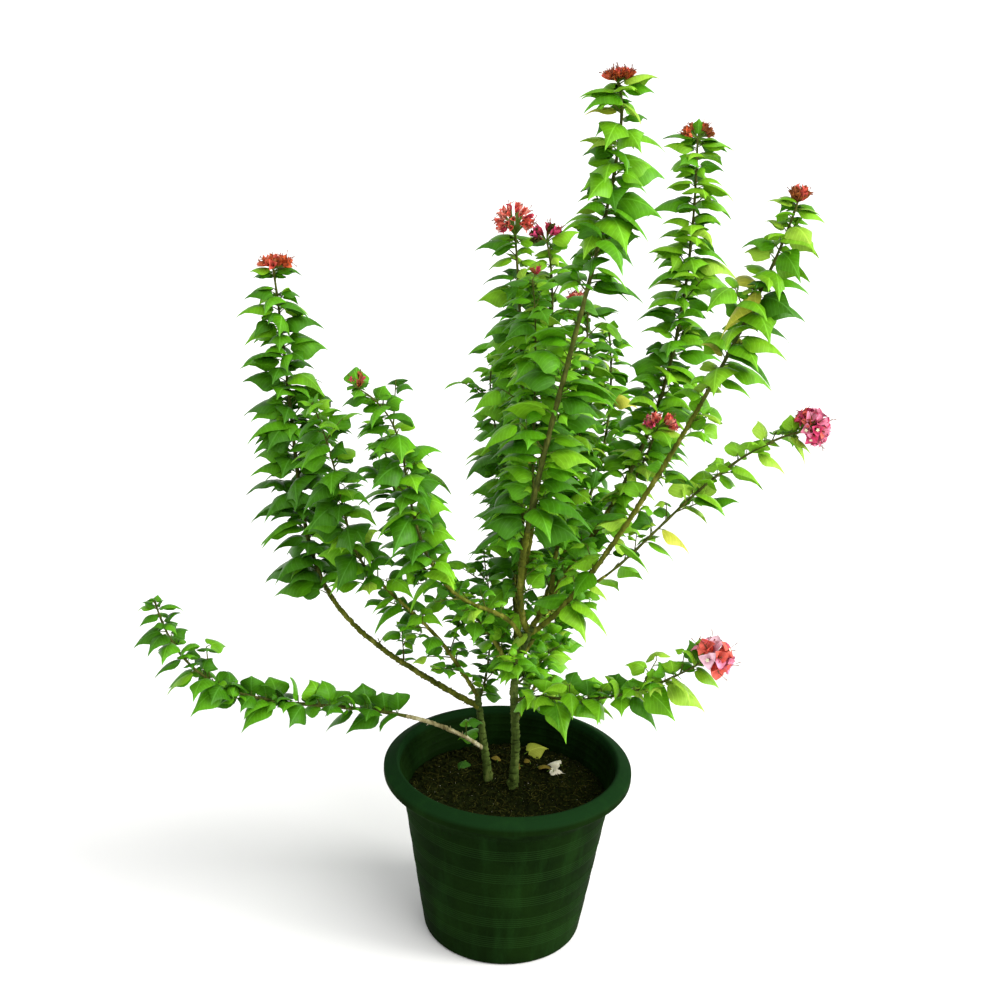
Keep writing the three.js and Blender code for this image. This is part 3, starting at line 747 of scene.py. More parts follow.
def woodwork(materials):
    """The two stems in one mesh and the boughs in others"""
    for kind, sides, step, relief in BARK_KINDS:
        heap, nodes = Heap(), []
        for line in limbs.values():
            own = "stem" if not line.parent else "pale_bough" if line.name == "left_low" else "bough"
            if line.bare > 0 and own == kind:
                nodes.append(line.name if kind == "stem" else "bough_" + line.name)
                add_wood(heap, line, sides, step, relief)
        heap.make(kind + "_bark", materials[kind + "_bark"], "bark", nodes)


# Leaves: heart-shaped with a long tip, arched over a slender stalk

STALK = 0.2
ROWS = np.array([0.0, 0.06, 0.17, 0.31, 0.47, 0.63, 0.78, 0.9])
HALF_WIDTHS = np.array([0.26, 0.72, 0.97, 1.0, 0.84, 0.55, 0.25, 0.1])
LOBES = np.array([-0.06, -0.035, -0.01, 0, 0, 0, 0, 0])
ACROSS = np.array([-1.0, -0.55, 0.0, 0.55, 1.0])
ROLL_SPREAD = 0.42
ROLL_LIMIT = 0.7
MIDRIB_ARCH = 0.08
TIP_DROOP = 0.07
BLADE_WIDTH = 0.46
BLADE_FOLD = (0.12, 0.3)
EDGE_LIFT = 0.035
EDGE_RIPPLE = 0.012
LOBE_REACH = 1.4
STALK_RADIUS = 0.35
STALK_GROWTH = 0.006


def leaf_frame(along):
    side = np.cross(along, UP)
    if np.linalg.norm(side) < 0.2:
        side = np.array([1.0, 0, 0]) - along * along[0]
    side = unit(side)
    return side, unit(np.cross(side, along))


def add_leaf(heap, stalks, root, along, length, droop, rand, wide=1.0, turned=1.0, roll=None):
    """A leaf with its stalk: the blade arches over and its two halves fall away from the midrib"""
    side, face = leaf_frame(along)
    if roll is None:
        roll = min(max(rand.normal(0, ROLL_SPREAD), -ROLL_LIMIT), ROLL_LIMIT) * turned
    side, face = rotated(side, along, roll), rotated(face, along, roll)

    def midrib(s):
        s = np.asarray(s)[:, None]
        arch = face * MIDRIB_ARCH * length * np.sin(np.pi * np.clip(s, 0, 1))
        return root + along * s * length + arch - UP * droop * length * s * s - UP * TIP_DROOP * length * s ** 6

    centres = midrib(np.append(STALK + (1 - STALK) * ROWS, 1.0))
    tangents = tangents_of(centres)
    normals = np.cross(side, tangents)
    half = length * (1 - STALK) * BLADE_WIDTH * wide * rand.uniform(0.88, 1.08)
    ripple = rand.uniform(0, 6.3)
    fold = rand.uniform(*BLADE_FOLD)
    out = np.abs(ACROSS)
    points, uvs = [], []
    for i, share in enumerate(ROWS):
        wave = np.sin(9 * share + ripple + 2.2 * np.sign(ACROSS))
        lift = length * (EDGE_LIFT * out - fold * ACROSS ** 2) * HALF_WIDTHS[i]
        lift = lift + EDGE_RIPPLE * length * out ** 2 * wave
        offsets = np.outer(ACROSS * half * HALF_WIDTHS[i], side) + np.outer(lift, normals[i])
        back = np.outer(out * LOBES[i] * length * LOBE_REACH, tangents[i])
        points.extend((centres[i] + offsets + back).tolist())
        uvs.extend([(0.5 + 0.5 * a * HALF_WIDTHS[i], share) for a in ACROSS])
    points.append(centres[-1].tolist())
    uvs.append((0.5, 1.0))
    faces = grid(len(ROWS), len(ACROSS))
    last = (len(ROWS) - 1) * len(ACROSS)
    faces.extend((last + j, last + j + 1, len(points) - 1) for j in range(len(ACROSS) - 1))
    heap.add(points, faces, uvs)
    stalk = midrib([0.0, 0.1, STALK + 0.03])
    thick = STALK_RADIUS + STALK_GROWTH * length
    tube(stalks, stalk, [thick * 1.25, thick, thick * 0.8], 4, close=False)


# Growth: the solids' own leaves and twigs first, then finer ones between them

LEAF_WIDEST = 0.5
LEAF_ARCH = 0.08
LEAF_THICK = 1.6
LAST_LEAF = 3
LEAF_FACES = ((0, 2, 1), (3, 1, 2), (0, 4, 5), (3, 5, 4), (0, 1, 4), (1, 3, 4), (2, 0, 5), (3, 2, 5))
LEAF_TURNS = (0, 28, -28, 56, -56, 90, -90)
LEAF_LIFT = (0.2, 0.35)
DROOP_SPREAD = (0.7, 0.6)


def plain_leaf(root, along, radius, length, droop):
    """The corners of the solids' leaf, whose two edges are as thick as it is"""
    side, face = leaf_frame(along)

    def on(share, width, lift):
        return root + along * share * length + side * width + face * lift - UP * droop * length * share * share

    half, arch = LEAF_WIDTH * length / 2, LEAF_ARCH * length
    corners = [root - 0.4 * radius * along]
    corners += [on(LEAF_WIDEST, width, arch + LEAF_THICK) for width in (-half, half)]
    corners += [on(1, 0, 0)]
    corners += [on(LEAF_WIDEST, width, arch) for width in (-half, half)]
    return np.array(corners)


def blade_points(corners):
    """Points spread over a leaf's blade, for the test of its space"""
    root, left, right, tip = corners[:4]
    middle = (left + right) / 2
    pairs = ((left, tip), (right, tip), (middle, tip), (root, left), (root, right), (middle, left),
             (middle, right))
    return np.array([left, right, tip, middle] + [(a + b) / 2 for a, b in pairs])


def shell(points, faces):
    """A closed piece's box and its faces, for the test of whether two pieces touch"""
    return points.min(axis=0), points.max(axis=0), BVHTree.FromPolygons(points.tolist(), faces)


def touches(a, b):
    return (a[0] <= b[1]).all() and (b[0] <= a[1]).all() and bool(a[2].overlap(b[2]))


def grow_leaf(seat, before, turn, length, rand, keeps=keeps_to_its_space):
    """A leaf at the first of a few turns that keeps to its space, or none"""
    line, root, along, radius = seat
    lift = LEAF_LIFT[0] + LEAF_LIFT[1] * rand()
    level = 1 - abs(along[2])
    droop = LEAF_DROOP * (DROOP_SPREAD[0] + DROOP_SPREAD[1] * rand()) * (1 - LEVEL_STIFFNESS * level)
    for change in LEAF_TURNS:
        out = sideways(along, math.radians(turn + change))
        direction = unit(out + along * lift + UP * level * LEVEL_LIFT)
        corners = plain_leaf(root, direction, radius, length, droop)
        if not keeps(blade_points(corners), line):
            continue
        body = shell(corners, LEAF_FACES)
        if not any(touches(body, one) for one in before):
            return [dict(root=root, along=direction, length=length, droop=droop, body=body)]
    return []


def twig_line(root, middle, end, shares):
    t = np.asarray(shares, float)[:, None]
    return (1 - t) ** 2 * root + 2 * t * (1 - t) * middle + t * t * end


def grow_twig(seat, before, turn, length, leaf_length, rand, keeps=keeps_to_its_space):
    """A short twig and its leaves, or none where it would leave its space or touch a leaf"""
    limb_of, root, along, _ = seat
    out = sideways(along, math.radians(turn))
    direction = unit(out + along * TWIG_FORWARD + UP * (1 - abs(along[2])) * LEVEL_LIFT)
    end = root + direction * length
    middle = root + direction * length * 0.55 + UP * length * 0.05
    if not keeps(np.array([middle, end]), limb_of):
        return [], []
    side, face = leaf_frame(direction)
    ring = [side, -0.5 * side + 0.87 * face, -0.5 * side - 0.87 * face]
    points = np.array([p + TWIG_RADIUS * r for p in twig_line(root, middle, end, (0, 0.5, 1)) for r in ring])
    faces = [(0, 2, 1), (6, 7, 8)]
    for a in (0, 3):
        faces += [(a + j, a + (j + 1) % 3, a + 3 + (j + 1) % 3, a + 3 + j) for j in range(3)]
    body = shell(points, faces)
    if any(touches(body, one) for one in before):
        return [], []
    found = []
    for share, around in TWIG_LEAVES:
        at, ahead, behind = twig_line(root, middle, end, (share, share + 0.01, share - 0.01))
        others = before + [leaf["body"] for leaf in found]
        place = limb_of, at, unit(ahead - behind), TWIG_RADIUS
        found += grow_leaf(place, others, turn + around, leaf_length, rand, keeps)
    return [dict(line=(root, middle, end), body=body)], found


def grow_shoot(line):
    """The leaves and twigs that the solids have on one shoot, in the same places"""
    rand = seeded(1000 + 77 * line.index)
    spacing, low, top = line.leaf
    leaves, twigs = [], []
    turn = 360 * rand()
    count = 0
    start, end = line.bare * line.length + FIRST_LEAF, line.length - LAST_LEAF
    for along in walk(start, end, lambda _: spacing * (0.8 + 0.4 * rand())):
        share = along / line.length
        rise = (share - line.bare) / (1 - line.bare)
        length = (low + (top - low) * rise) * (0.85 + 0.3 * rand())
        turn += GOLDEN_TURN + 20 * (rand() - 0.5)
        count += 1
        before = [one["body"] for one in leaves + twigs]
        if count % TWIG_EVERY == 0 and rise < 0.8:
            size = TWIG_LENGTH * (0.7 + 0.6 * rand())
            grown, found = grow_twig(line.seat(share), before, turn, size, length * 0.8, rand)
            twigs += grown
        else:
            found = grow_leaf(line.seat(share), before, turn, length, rand)
        leaves += [dict(leaf, rise=rise) for leaf in found]
    return leaves, twigs


FINE_SPACING = 6.5
FINE_SIZE = (0.68, 1.08)
TWIGLET_SPACING = 34
TWIGLET_LENGTH = (10, 24)
TWIGLET_LEAVES = (14, 24)
SPRIG_LENGTH = (14, 34)
SPRIG_LEAVES = (21, 20)
SPRIG_RISE = 0.1
SPRIG_TWIG_SHARE = 0.5
HEAD_WHORL = 9
TIP_WHORL = (4, 0.5, 0.6)


def grow_finer(line):
    """Smaller leaves between the solids' own, and twiglets with young leaves, in the same space"""
    looks = np.random.default_rng(500 + line.index)
    rand = looks.random
    _, low, top = line.leaf
    start = line.bare * line.length
    spacing = FINE_SPACING / line.full
    leaves, twigs = [], []
    turn = 360 * rand()
    for along in walk(start + 5, line.length - 2, lambda _: spacing * looks.uniform(0.7, 1.3)):
        rise = (along - start) / (line.length - start)
        length = (low + (top - low) * rise) * looks.uniform(*FINE_SIZE)
        turn += GOLDEN_TURN + 30 * (rand() - 0.5)
        found = grow_leaf(line.seat(along / line.length), [], turn, length, rand, keeps_closely)
        leaves += [dict(leaf, rise=rise) for leaf in found]
    first = start + looks.uniform(8, TWIGLET_SPACING)
    for along in walk(first, line.length - 20, lambda _: TWIGLET_SPACING * looks.uniform(0.6, 1.4)):
        rise = (along - start) / (line.length - start)
        size, length = looks.uniform(*TWIGLET_LEAVES), looks.uniform(*TWIGLET_LENGTH)
        seat = line.seat(along / line.length)
        grown, found = grow_twig(seat, [], 360 * rand(), length, size, rand, keeps_closely)
        twigs += grown
        leaves += [dict(leaf, rise=rise, young=True) for leaf in found]
    return leaves, twigs


def grow_sprigs(line):
    """Little leafy twigs on a bare limb, and single leaves straight on it, larger towards its leafy end"""
    looks = np.random.default_rng(1300 + line.index)
    rand = looks.random
    reach = line.bare * line.length
    leaves, twigs = [], []
    first = 30 if line.parent else 0.5 * reach
    low, more = SPRIG_LEAVES
    for place in walk(first, reach - 4, lambda _: line.sprigs * looks.uniform(0.5, 1.5)):
        seat = line.seat(place / line.length)
        size = (low + more * place / reach) * looks.uniform(0.7, 1.3)
        turn = 360 * rand()
        if rand() < SPRIG_TWIG_SHARE:
            length = looks.uniform(*SPRIG_LENGTH)
            grown, found = grow_twig(seat, [], turn, length, size, rand, clear_of_wood)
            twigs += grown
        else:
            found = grow_leaf(seat, [], turn, size * 1.2, rand, clear_of_wood)
        leaves += [dict(leaf, rise=SPRIG_RISE) for leaf in found]
    return leaves, twigs


def grow_whorl(line):
    """Leaves close together round a shoot's tip, nearly level under a head"""
    count, size, out = (HEAD_WHORL, line.whorl, 1.0) if line.head else TIP_WHORL
    looks = np.random.default_rng(900 + line.index)
    leaves = []
    tangent = line.tangent(1)
    if line.level:
        tangent = unit(tangent + 1.5 * UP)
    start = looks.uniform(0, 6.28)
    for i in range(count):
        angle = start + 2 * math.pi * i / count + looks.uniform(-0.3, 0.3)
        direction = sideways(tangent, angle) * out + tangent * (1.2 - out) + UP * 0.05
        root = line.point(1 - looks.uniform(2, 13) / line.length)
        length = line.leaf[2] * size * looks.uniform(0.8, 1.15)
        leaves.append(dict(root=root, along=unit(direction), length=length, droop=looks.uniform(0.16, 0.36),
                           rise=1.0, turned=0.3))
    return leaves


# Limbs and heads that no leaf covers from the front: start, end, and how wide the gap is

OPEN_LIMBS = (
    ("leader", 0, 0.62, 5), ("right_tall", 0, 0.62, 5), ("left_tall", 0, 0.36, 6), ("stem_right", 0, 0.45, 6),
    ("stem_left", 0, 0.5, 6), ("right_long", 0, 0.45, 4), ("left_low", 0, 0.25, 5), ("arch_front", 0, 0.5, 3),
    ("centre_back", 0.97, 1, 15), ("right_inner", 0.97, 1, 18), ("centre_small", 0.97, 1, 8),
    ("centre", 0.97, 1, 16), ("centre_left", 0.97, 1, 20), ("arch_front_top", 0.97, 1, 8),
    ("right_low", 0.97, 1, 22), ("right_long", 0.97, 1, 22), ("leader", 0.995, 1, 5), ("left_tall", 0.99, 1, 9),
    ("right_tall", 0.99, 1, 7), ("right_back", 0.995, 1, 6),
)


def sight_of(points):
    """Directions from the camera's place as slopes across and up, and how far off the points are"""
    away = np.atleast_2d(points) - np.array(CAMERA_AT)
    return away[:, [0, 2]] / away[:, 1:2], away[:, 1]


def open_places():
    """Slopes, distance and gap of points along the open limbs"""
    rows = []
    for name, start, end, gap in OPEN_LIMBS:
        count = max(2, int(limbs[name].length * (end - start) / 3))
        slopes, far = sight_of(limbs[name].points(np.linspace(start, end, count)))
        rows.append(np.column_stack([slopes, far, gap / far]))
    return np.concatenate(rows)


def covers(leaf, places):
    """Whether a leaf would hide one of the open places from the front"""
    shares = np.array([[0.35], [0.6], [0.85]])
    length = leaf["length"]
    blade = leaf["root"] + leaf["along"] * length * shares - UP * leaf["droop"] * length * shares ** 2
    slopes, far = sight_of(blade)
    reach = np.array([0.2, 0.2, 0.1])[:, None] * length / far[:, None] + places[None, :, 3]
    apart = np.linalg.norm(slopes[:, None] - places[None, :, :2], axis=2)
    return bool(((apart < reach) & (far[:, None] < places[None, :, 2] - 3)).any())


# Leaf tones, dealt out leaf by leaf; each kind of spray has its own shares of them, and the darker and lighter
# sprays paint shade and light

TONES = {"deep": "3A720A", "mid": "50900E", "fresh": "64A213", "bright": "74AC1C", "lime": "8CB632",
         "yellow": "B4B83C"}
# The dark and shaded sprays on the shoots to the left and the sunny and light ones on the right are painted
# shade and light, as if lit from the right; within a spray the tones differ at random
SHARES = {
    "dark": (0.62, 0.28, 0.09, 0.01, 0.0, 0.0),
    "shaded": (0.36, 0.38, 0.19, 0.06, 0.01, 0.0),
    "middle": (0.18, 0.34, 0.30, 0.14, 0.035, 0.005),
    "sunny": (0.09, 0.25, 0.36, 0.22, 0.07, 0.01),
    "light": (0.04, 0.12, 0.28, 0.32, 0.20, 0.04),
}

# Leaves that stand out: limb, share of its length, turn and rise, length, width, droop, roll in degrees, tone
NAMED_LEAVES = (
    ("right_back", 1.0, 265, 84, 24, 1.2, 0.0, 0, "mid"),
    ("right_tall", 0.84, 215, -35, 66, 0.6, 0.15, 40, "yellow"),
    ("stem_right", 0.98, 212, -38, 38, 1.15, 0.1, 20, "lime"),
    ("right_tall", 0.24, 200, -8, 48, 1.1, 0.15, 45, "bright"),
    ("right_tall", 0.2, 218, -40, 38, 1.15, 0.1, 0, "mid"),
    ("right_tall", 0.13, 192, -5, 56, 1.0, 0.1, 40, "mid"),
    ("right_tall", 0.27, 328, -12, 50, 1.05, 0.3, -40, "fresh"),
    ("right_tall", 0.11, 300, -22, 48, 1.1, 0.3, -15, "bright"),
    ("right_tall", 0.12, 325, -12, 54, 1.0, 0.35, -25, "bright"),
    ("right_tall", 0.17, 328, -20, 34, 1.1, 0.2, -30, "lime"),
    ("right_tall", 0.33, 198, 0, 42, 1.05, 0.1, 40, "lime"),
    ("right_tall", 0.34, 184, -5, 60, 0.75, 0.05, 30, "deep"),
    ("right_inner", 0.22, 200, -12, 42, 1.0, 0.15, 40, "lime"),
    ("leader", 0.82, 200, -5, 36, 1.05, 0.2, 40, "lime"),
    ("arch_front", 0.96, 300, 5, 50, 1.1, 0.2, -20, "bright"),
)

# Shoots whose foot is barer on the right: up to which share, and the share of leaves left out
THINNED = {"leader": (0.3, 0.5)}
TIP_TAPER = 0.2
TAPER_FROM = 0.8
LOW_LEAF_CUT = 0.14
DROOP_SHARE = 0.85
OPEN_SHARE = 0.92
YOUNG_LIGHTER = 0.8


def leafage(materials):
    """All leaves, each tone in one mesh, with their stalks, the twigs and the leafy shoots"""
    heaps = {tone: Heap() for tone in TONES}
    stalks, twig_heap, shoot_heap = Heap(), Heap(), Heap()
    nodes, places = [], open_places()
    for line in limbs.values():
        looks = np.random.default_rng(70 + line.index)
        # The shoot's spray: darker on the shoots to the left and lighter on those to the right, painted shade
        # and light
        shares = np.array(SHARES[line.tone])
        low_end, left_out = THINNED.get(line.name, (0, 0))
        leaves, twigs = grow_sprigs(line)
        if line.leaf:
            nodes.append("foliage_" + line.name)
            for grow in (grow_shoot, grow_finer):
                found, found_twigs = grow(line)
                leaves += found
                twigs += found_twigs
            leaves += grow_whorl(line)
            rows = np.linspace(line.bare, 1, max(6, int(line.length * (1 - line.bare) / 4)))
            radii = line.drawn_radii(rows) * (1 + 0.1 * np.sin(rows * line.length / 4.1))
            tube(shoot_heap, line.points(rows), radii, 8, 0.07, line.index)
        for leaf in leaves:
            leaf["length"] *= (1 - LOW_LEAF_CUT * (1 - leaf["rise"])) * line.size
            if "turned" not in leaf:
                leaf["length"] *= 1 - TIP_TAPER * max(0, (leaf["rise"] - TAPER_FROM) / (1 - TAPER_FROM))
            leaf["droop"] *= DROOP_SHARE
            if covers(leaf, places) and looks.random() < OPEN_SHARE:
                continue
            if leaf["rise"] < low_end and leaf["along"][0] > 0 and looks.random() < left_out:
                continue
            lighter = 0.5 + leaf["rise"] + (YOUNG_LIGHTER if leaf.get("young") else 0)
            weights = shares * np.array([1 / lighter, 1, 1, lighter, lighter, 1])
            tone = looks.choice(list(TONES), p=weights / weights.sum())
            add_leaf(heaps[tone], stalks, leaf["root"], leaf["along"], leaf["length"], leaf["droop"], looks,
                     turned=leaf.get("turned", 1))
        for twig in twigs:
            points = twig_line(*twig["line"], np.linspace(0, 1, 5))
            tube(twig_heap, points, np.linspace(1.0, 0.55, 5), 6, 0.08, line.index)
    looks = np.random.default_rng(69)
    for name, share, turn, rise, length, wide, droop, roll, tone in NAMED_LEAVES:
        add_leaf(heaps[tone], stalks, limbs[name].point(share), heading(turn, rise), length, droop, looks, wide,
                 roll=math.radians(roll))
    for tone, heap in heaps.items():
        heap.make("leaves_" + tone, materials["leaf_" + tone], "foliage", nodes)
    stalks.make("leaf_stalks", materials["leaf_stalk"], "foliage", nodes)
    twig_heap.make("twigs", materials["twig_brown"], "bark", nodes)
    shoot_heap.make("shoots", materials["shoot_brown"], "bark", nodes)


# Blossom: each flower is three papery bracts round a slender tube

# How wide and tall each kind of head is, and how far it stands above the tip
HEADS = {"crown": (40, 13, 1), "flat": (46, 13, 3), "ball": (48, 23, 14), "tuft": (22, 19, 1),
         "pair": (42, 18, 2), "open": (50, 25, 10), "bud": (18, 12, 1)}

BRACT_TONES = {
    "rust": "9A5428", "ember": "C85C30", "coral": "DC6252", "salmon": "E49484", "crimson": "BE3A50",
    "magenta": "D84A78", "pink": "E68AA8", "pale": "F2C0CE",
}

# Flowers, spread in degrees, bract length and width, opening, share of threads, the head's shift, and its tones
BLOOMS = {
    "leader": (42, 64, 11.5, 0.6, 0.3, 0.4, (2, -3), dict(ember=0.6, rust=0.25, coral=0.15)),
    "left_tall": (20, 78, 14, 0.8, 0.6, 0.6, (3, -3), dict(coral=0.3, ember=0.35, rust=0.2, salmon=0.15)),
    "arch_front_top": (4, 60, 10, 0.9, 0.55, 1.0, (7, -3), dict(crimson=0.6, rust=0.3, pink=0.1)),
    "centre_left": (34, 118, 12, 0.7, 0.5, 0.35, (0, 1), dict(coral=0.6, crimson=0.12, salmon=0.28)),
    "centre": (13, 80, 13, 0.8, 0.5, 0.6, (0, 0), dict(magenta=0.3, crimson=0.3, straw=0.4)),
    "centre_small": (3, 50, 9, 0.8, 0.5, 0.4, (4, 2), dict(crimson=0.5, rust=0.5)),
    "centre_back": (13, 60, 13, 0.9, 0.6, 0.8, (-14, 2), dict(coral=0.7, salmon=0.3)),
    "right_tall": (13, 52, 14, 0.65, 0.35, 0.5, (0, -5), dict(coral=0.35, rust=0.45, pink=0.2)),
    "right_long": (32, 118, 15, 1.0, 0.8, 0.5, (3, -2), dict(magenta=0.35, coral=0.2, pink=0.45)),
    "right_back": (24, 84, 11, 0.65, 0.35, 0.3, (0, -2), dict(rust=0.55, ember=0.45)),
    "right_inner": (17, 88, 12, 0.9, 0.6, 0.4, (2, -2), dict(coral=0.4, magenta=0.35, salmon=0.25)),
    "right_low": (11, 95, 20, 1.1, 0.9, 0.6, (3, -3), dict(pink=0.4, pale=0.35, salmon=0.1, coral=0.15)),
}

BRACT_ROWS = (0.0, 0.18, 0.42, 0.68, 0.87, 1.0)
BRACT_WIDTHS = (0.2, 0.68, 1.0, 0.82, 0.4, 0.04)
BRACT_ACROSS = (-1, -0.5, 0, 0.5, 1)
BRACT_WIDTH = 0.34
TUBE_SHARE = 0.72
ODD_BRACT_SHARE = 0.25
STAR_SIZE = 2.6
STAR_NOTCH = 0.55
STAR_HINT = (0.3, 0.9, 0.2)
STAR_OPENING = 0.65
STAR_SHARE = 0.7
HEAD_HINT = (0.1, -0.95, 0.1)
PAIR_TILT = math.radians(25)


def add_bract(heap, root, axis, side, length, wide, opening, rand):
    """A bract that leaves its flower's foot along the axis and curves away from it to one side"""
    across = unit(np.cross(axis, side))
    cup = rand.uniform(0.08, 0.2)
    ripple = rand.uniform(0, 6.3)
    points, uvs = [], []
    for share, width in zip(BRACT_ROWS, BRACT_WIDTHS):
        bend = max(opening, 0.05) * share * 1.6
        reach = length * share / max(bend, 1e-3)
        centre = root + (axis * math.sin(bend) + side * (1 - math.cos(bend))) * reach
        inward = axis * math.sin(bend) - side * math.cos(bend)
        for a in BRACT_ACROSS:
            lift = cup * width * a * a + 0.03 * math.sin(7 * share + ripple + 2 * a) * abs(a)
            points.append(centre + across * a * width * length * BRACT_WIDTH * wide + inward * lift * length)
            uvs.append((0.5 + 0.5 * a * width, share))
    heap.add(points, grid(len(BRACT_ROWS), len(BRACT_ACROSS)), uvs)


def add_star(heap, at, axis):
    """The small cream star that a tube opens into"""
    points = [at]
    for k in range(10):
        reach = STAR_SIZE * (STAR_NOTCH if k % 2 else 1)
        points.append(at + sideways(axis, math.pi * k / 5, STAR_HINT) * reach + axis * STAR_SIZE * 0.25)
    heap.add(points, [(0, 1 + k, 1 + (k + 1) % 10) for k in range(10)])


def add_blossom(line, bracts, tubes, threads, stars):
    count, spread, size, wide, opening, share_of_threads, shift, tones = BLOOMS[line.name]
    rand = np.random.default_rng(300 + line.index)
    across, tall, above = HEADS[line.head]
    facing = unit(line.tangent(1) * (1 - line.lift) + UP * line.lift)
    middle = line.point(1) + facing * above + np.array([shift[0], 0, shift[1]])
    first = unit(np.cross(facing, HEAD_HINT))
    foot = line.point(1) - facing * 1.5
    names, weights = list(tones), np.array(list(tones.values()))
    weights /= weights.sum()
    for i in range(count):
        out = math.radians(spread) * math.sqrt((i + 0.5) / count)
        around = math.radians(GOLDEN_TURN * i) + rand.uniform(-0.2, 0.2)
        if line.head == "pair":
            around = math.pi * (i % 2) + rand.uniform(-0.8, 0.8)
            out = max(out, PAIR_TILT)
        axis = unit(facing * math.cos(out) + sideways(facing, around, HEAD_HINT) * math.sin(out))
        length = size * rand.uniform(0.85, 1.15)
        reach = max(math.hypot(math.sin(out) * across / 2, math.cos(out) * tall) - length * 0.9, 1.5)
        root = middle + axis * reach
        tube(tubes, [foot, (foot + root) / 2 + facing * 0.8, root], [0.8, 0.6, 0.9], 5, close=False)
        around_axis = unit(np.cross(axis, facing + 0.3 * first))
        start = rand.uniform(0, 6.28)
        tone = rand.choice(names, p=weights)
        for k in range(3):
            side = rotated(around_axis, axis, start + 2 * math.pi * k / 3)
            own = tone if rand.random() < 1 - ODD_BRACT_SHARE else rand.choice(names, p=weights)
            add_bract(bracts[own], root, axis, side, length, wide, opening * rand.uniform(0.7, 1.3), rand)
        top = root + axis * length * TUBE_SHARE
        tube(threads, [root, (root + top) / 2, top], [1.0, 0.8, 0.9], 6)
        if rand.random() < share_of_threads:
            for _ in range(2):
                tip = root + unit(axis + 0.25 * rand.normal(0, 1, 3)) * length * rand.uniform(1.05, 1.35)
                tube(threads, [top - axis, (top + tip) / 2, tip], [0.35, 0.3, 0.55], 4)
        elif opening > STAR_OPENING and rand.random() < STAR_SHARE:
            add_star(stars, top, axis)


def blossom(materials):
    """All heads, each tone of bract in one mesh; dried ones have the look of straw"""
    bracts = {tone: Heap() for tone in [*BRACT_TONES, "straw"]}
    tubes, threads, stars = Heap(), Heap(), Heap()
    for line in limbs.values():
        if line.head:
            add_blossom(line, bracts, tubes, threads, stars)
    for tone, heap in bracts.items():
        heap.make("bracts_" + tone, materials.get("bract_" + tone, materials["straw_tan"]), "foliage")
    tubes.make("flower_stalks", materials["leaf_stalk"], "foliage")
    threads.make("flower_tubes", materials["flower_thread"], "foliage")
    stars.make("flower_stars", materials["flower_star"], "foliage")


# What lies on the soil

GRAINS = (("soil_grit", "grit_pale", 150, 0.9, 2.4), ("soil_chips", "chip_brown", 1500, 1.8, 7.5))
GRAIN_REACH = 118
STRAWS = 240
STRAW_REACH = 116
STRAW_RADII = np.array([0.2, 0.4, 0.45, 0.4, 0.2])
LITTER_REACH = 119

# Tone, place, turn and rise, length and droop, and roll in degrees
FALLEN = (
    ("yellow", (22, 88), 18, 24, 36, 0.25, 30),
    ("dry", (20, 58), 200, 8, 26, 0.5), ("dry", (38, 54), 340, 32, 26, 0.5),
    ("pale", (50, 46), 10, 14, 24, 0.4), ("pale", (70, 60), 160, 24, 22, 0.5),
    ("pale", (58, 42), 60, 30, 18, 0.5), ("dry", (-12, 62), 100, 30, 20, 0.5),
    ("dry", (30, 64), 120, 20, 18, 0.4), ("green", (-52, 66), 250, 10, 26, 0.3),
)


def spot(reach, rand):
    """A place on the soil within a reach, evenly spread"""
    away, turn = reach * math.sqrt(rand.random()), rand.uniform(0, 6.28)
    return away * math.cos(turn), away * math.sin(turn)


def add_chip(heap, at, size, rand):
    """A rough grain: an eight-faced lump, squashed and turned at random"""
    axes = rand.normal(0, 1, (3, 3))
    axes = np.linalg.qr(axes)[0] * (np.array(size) / 2)[:, None]
    points = [at + s * a * rand.uniform(0.7, 1.1) for a in axes for s in (1, -1)]
    faces = [(0, 2, 4), (2, 1, 4), (1, 3, 4), (3, 0, 4), (2, 0, 5), (1, 2, 5), (3, 1, 5), (0, 3, 5)]
    heap.add(points, faces)


def add_straw(heap, rand):
    x, y = spot(STRAW_REACH, rand)
    way, long = rand.uniform(0, 6.28), rand.uniform(6, 20)
    steps = np.linspace(-0.5, 0.5, 5) * long
    x = x + steps * math.cos(way) + rand.uniform(-1, 1, 5)
    y = y + steps * math.sin(way) + rand.uniform(-1, 1, 5)
    if (np.hypot(x, y) < LITTER_REACH).all():
        tube(heap, np.column_stack([x, y, soil_height(x, y) + rand.uniform(0.6, 2.2, 5)]), STRAW_RADII, 4)


def litter(materials):
    """Grains, chips and fallen leaves on the soil"""
    rand = np.random.default_rng(12)
    grains, straws = [Heap() for _ in GRAINS], Heap()
    for heap, (_, _, count, low, high) in zip(grains, GRAINS):
        for _ in range(count):
            x, y = spot(GRAIN_REACH, rand)
            long = rand.uniform(low, high)
            size = (long, long * rand.uniform(0.35, 0.8), long * rand.uniform(0.25, 0.6))
            add_chip(heap, np.array([x, y, soil_height(x, y) + 0.2 * long]), size, rand)
    for _ in range(STRAWS):
        add_straw(straws, rand)
    straws.make("soil_straws", materials["straw_tan"], "potting_mix")
    for heap, (name, tone, *_) in zip(grains, GRAINS):
        heap.make(name, materials[tone], "potting_mix", smooth=False)
    heaps = {row[0]: Heap() for row in FALLEN}
    stalks = Heap()
    for tone, (x, y), turn, rise, length, droop, *roll in FALLEN:
        root = np.array([x, y, soil_height(x, y) + 3.0])
        roll = math.radians(roll[0]) if roll else None
        add_leaf(heaps[tone], stalks, root, heading(turn, rise), length, droop, rand, roll=roll)
    for tone, heap in heaps.items():
        heap.make("fallen_" + tone, materials["fallen_" + tone], "foliage")
    stalks.make("fallen_stalks", materials["leaf_stalk"], "foliage")


# Materials by name

WHITE, BLACK = grey(1.0), grey(0.0)
SIDE_VEINS = 44
VEIN_SLANT = 34
VEIN_STRENGTH = 0.6


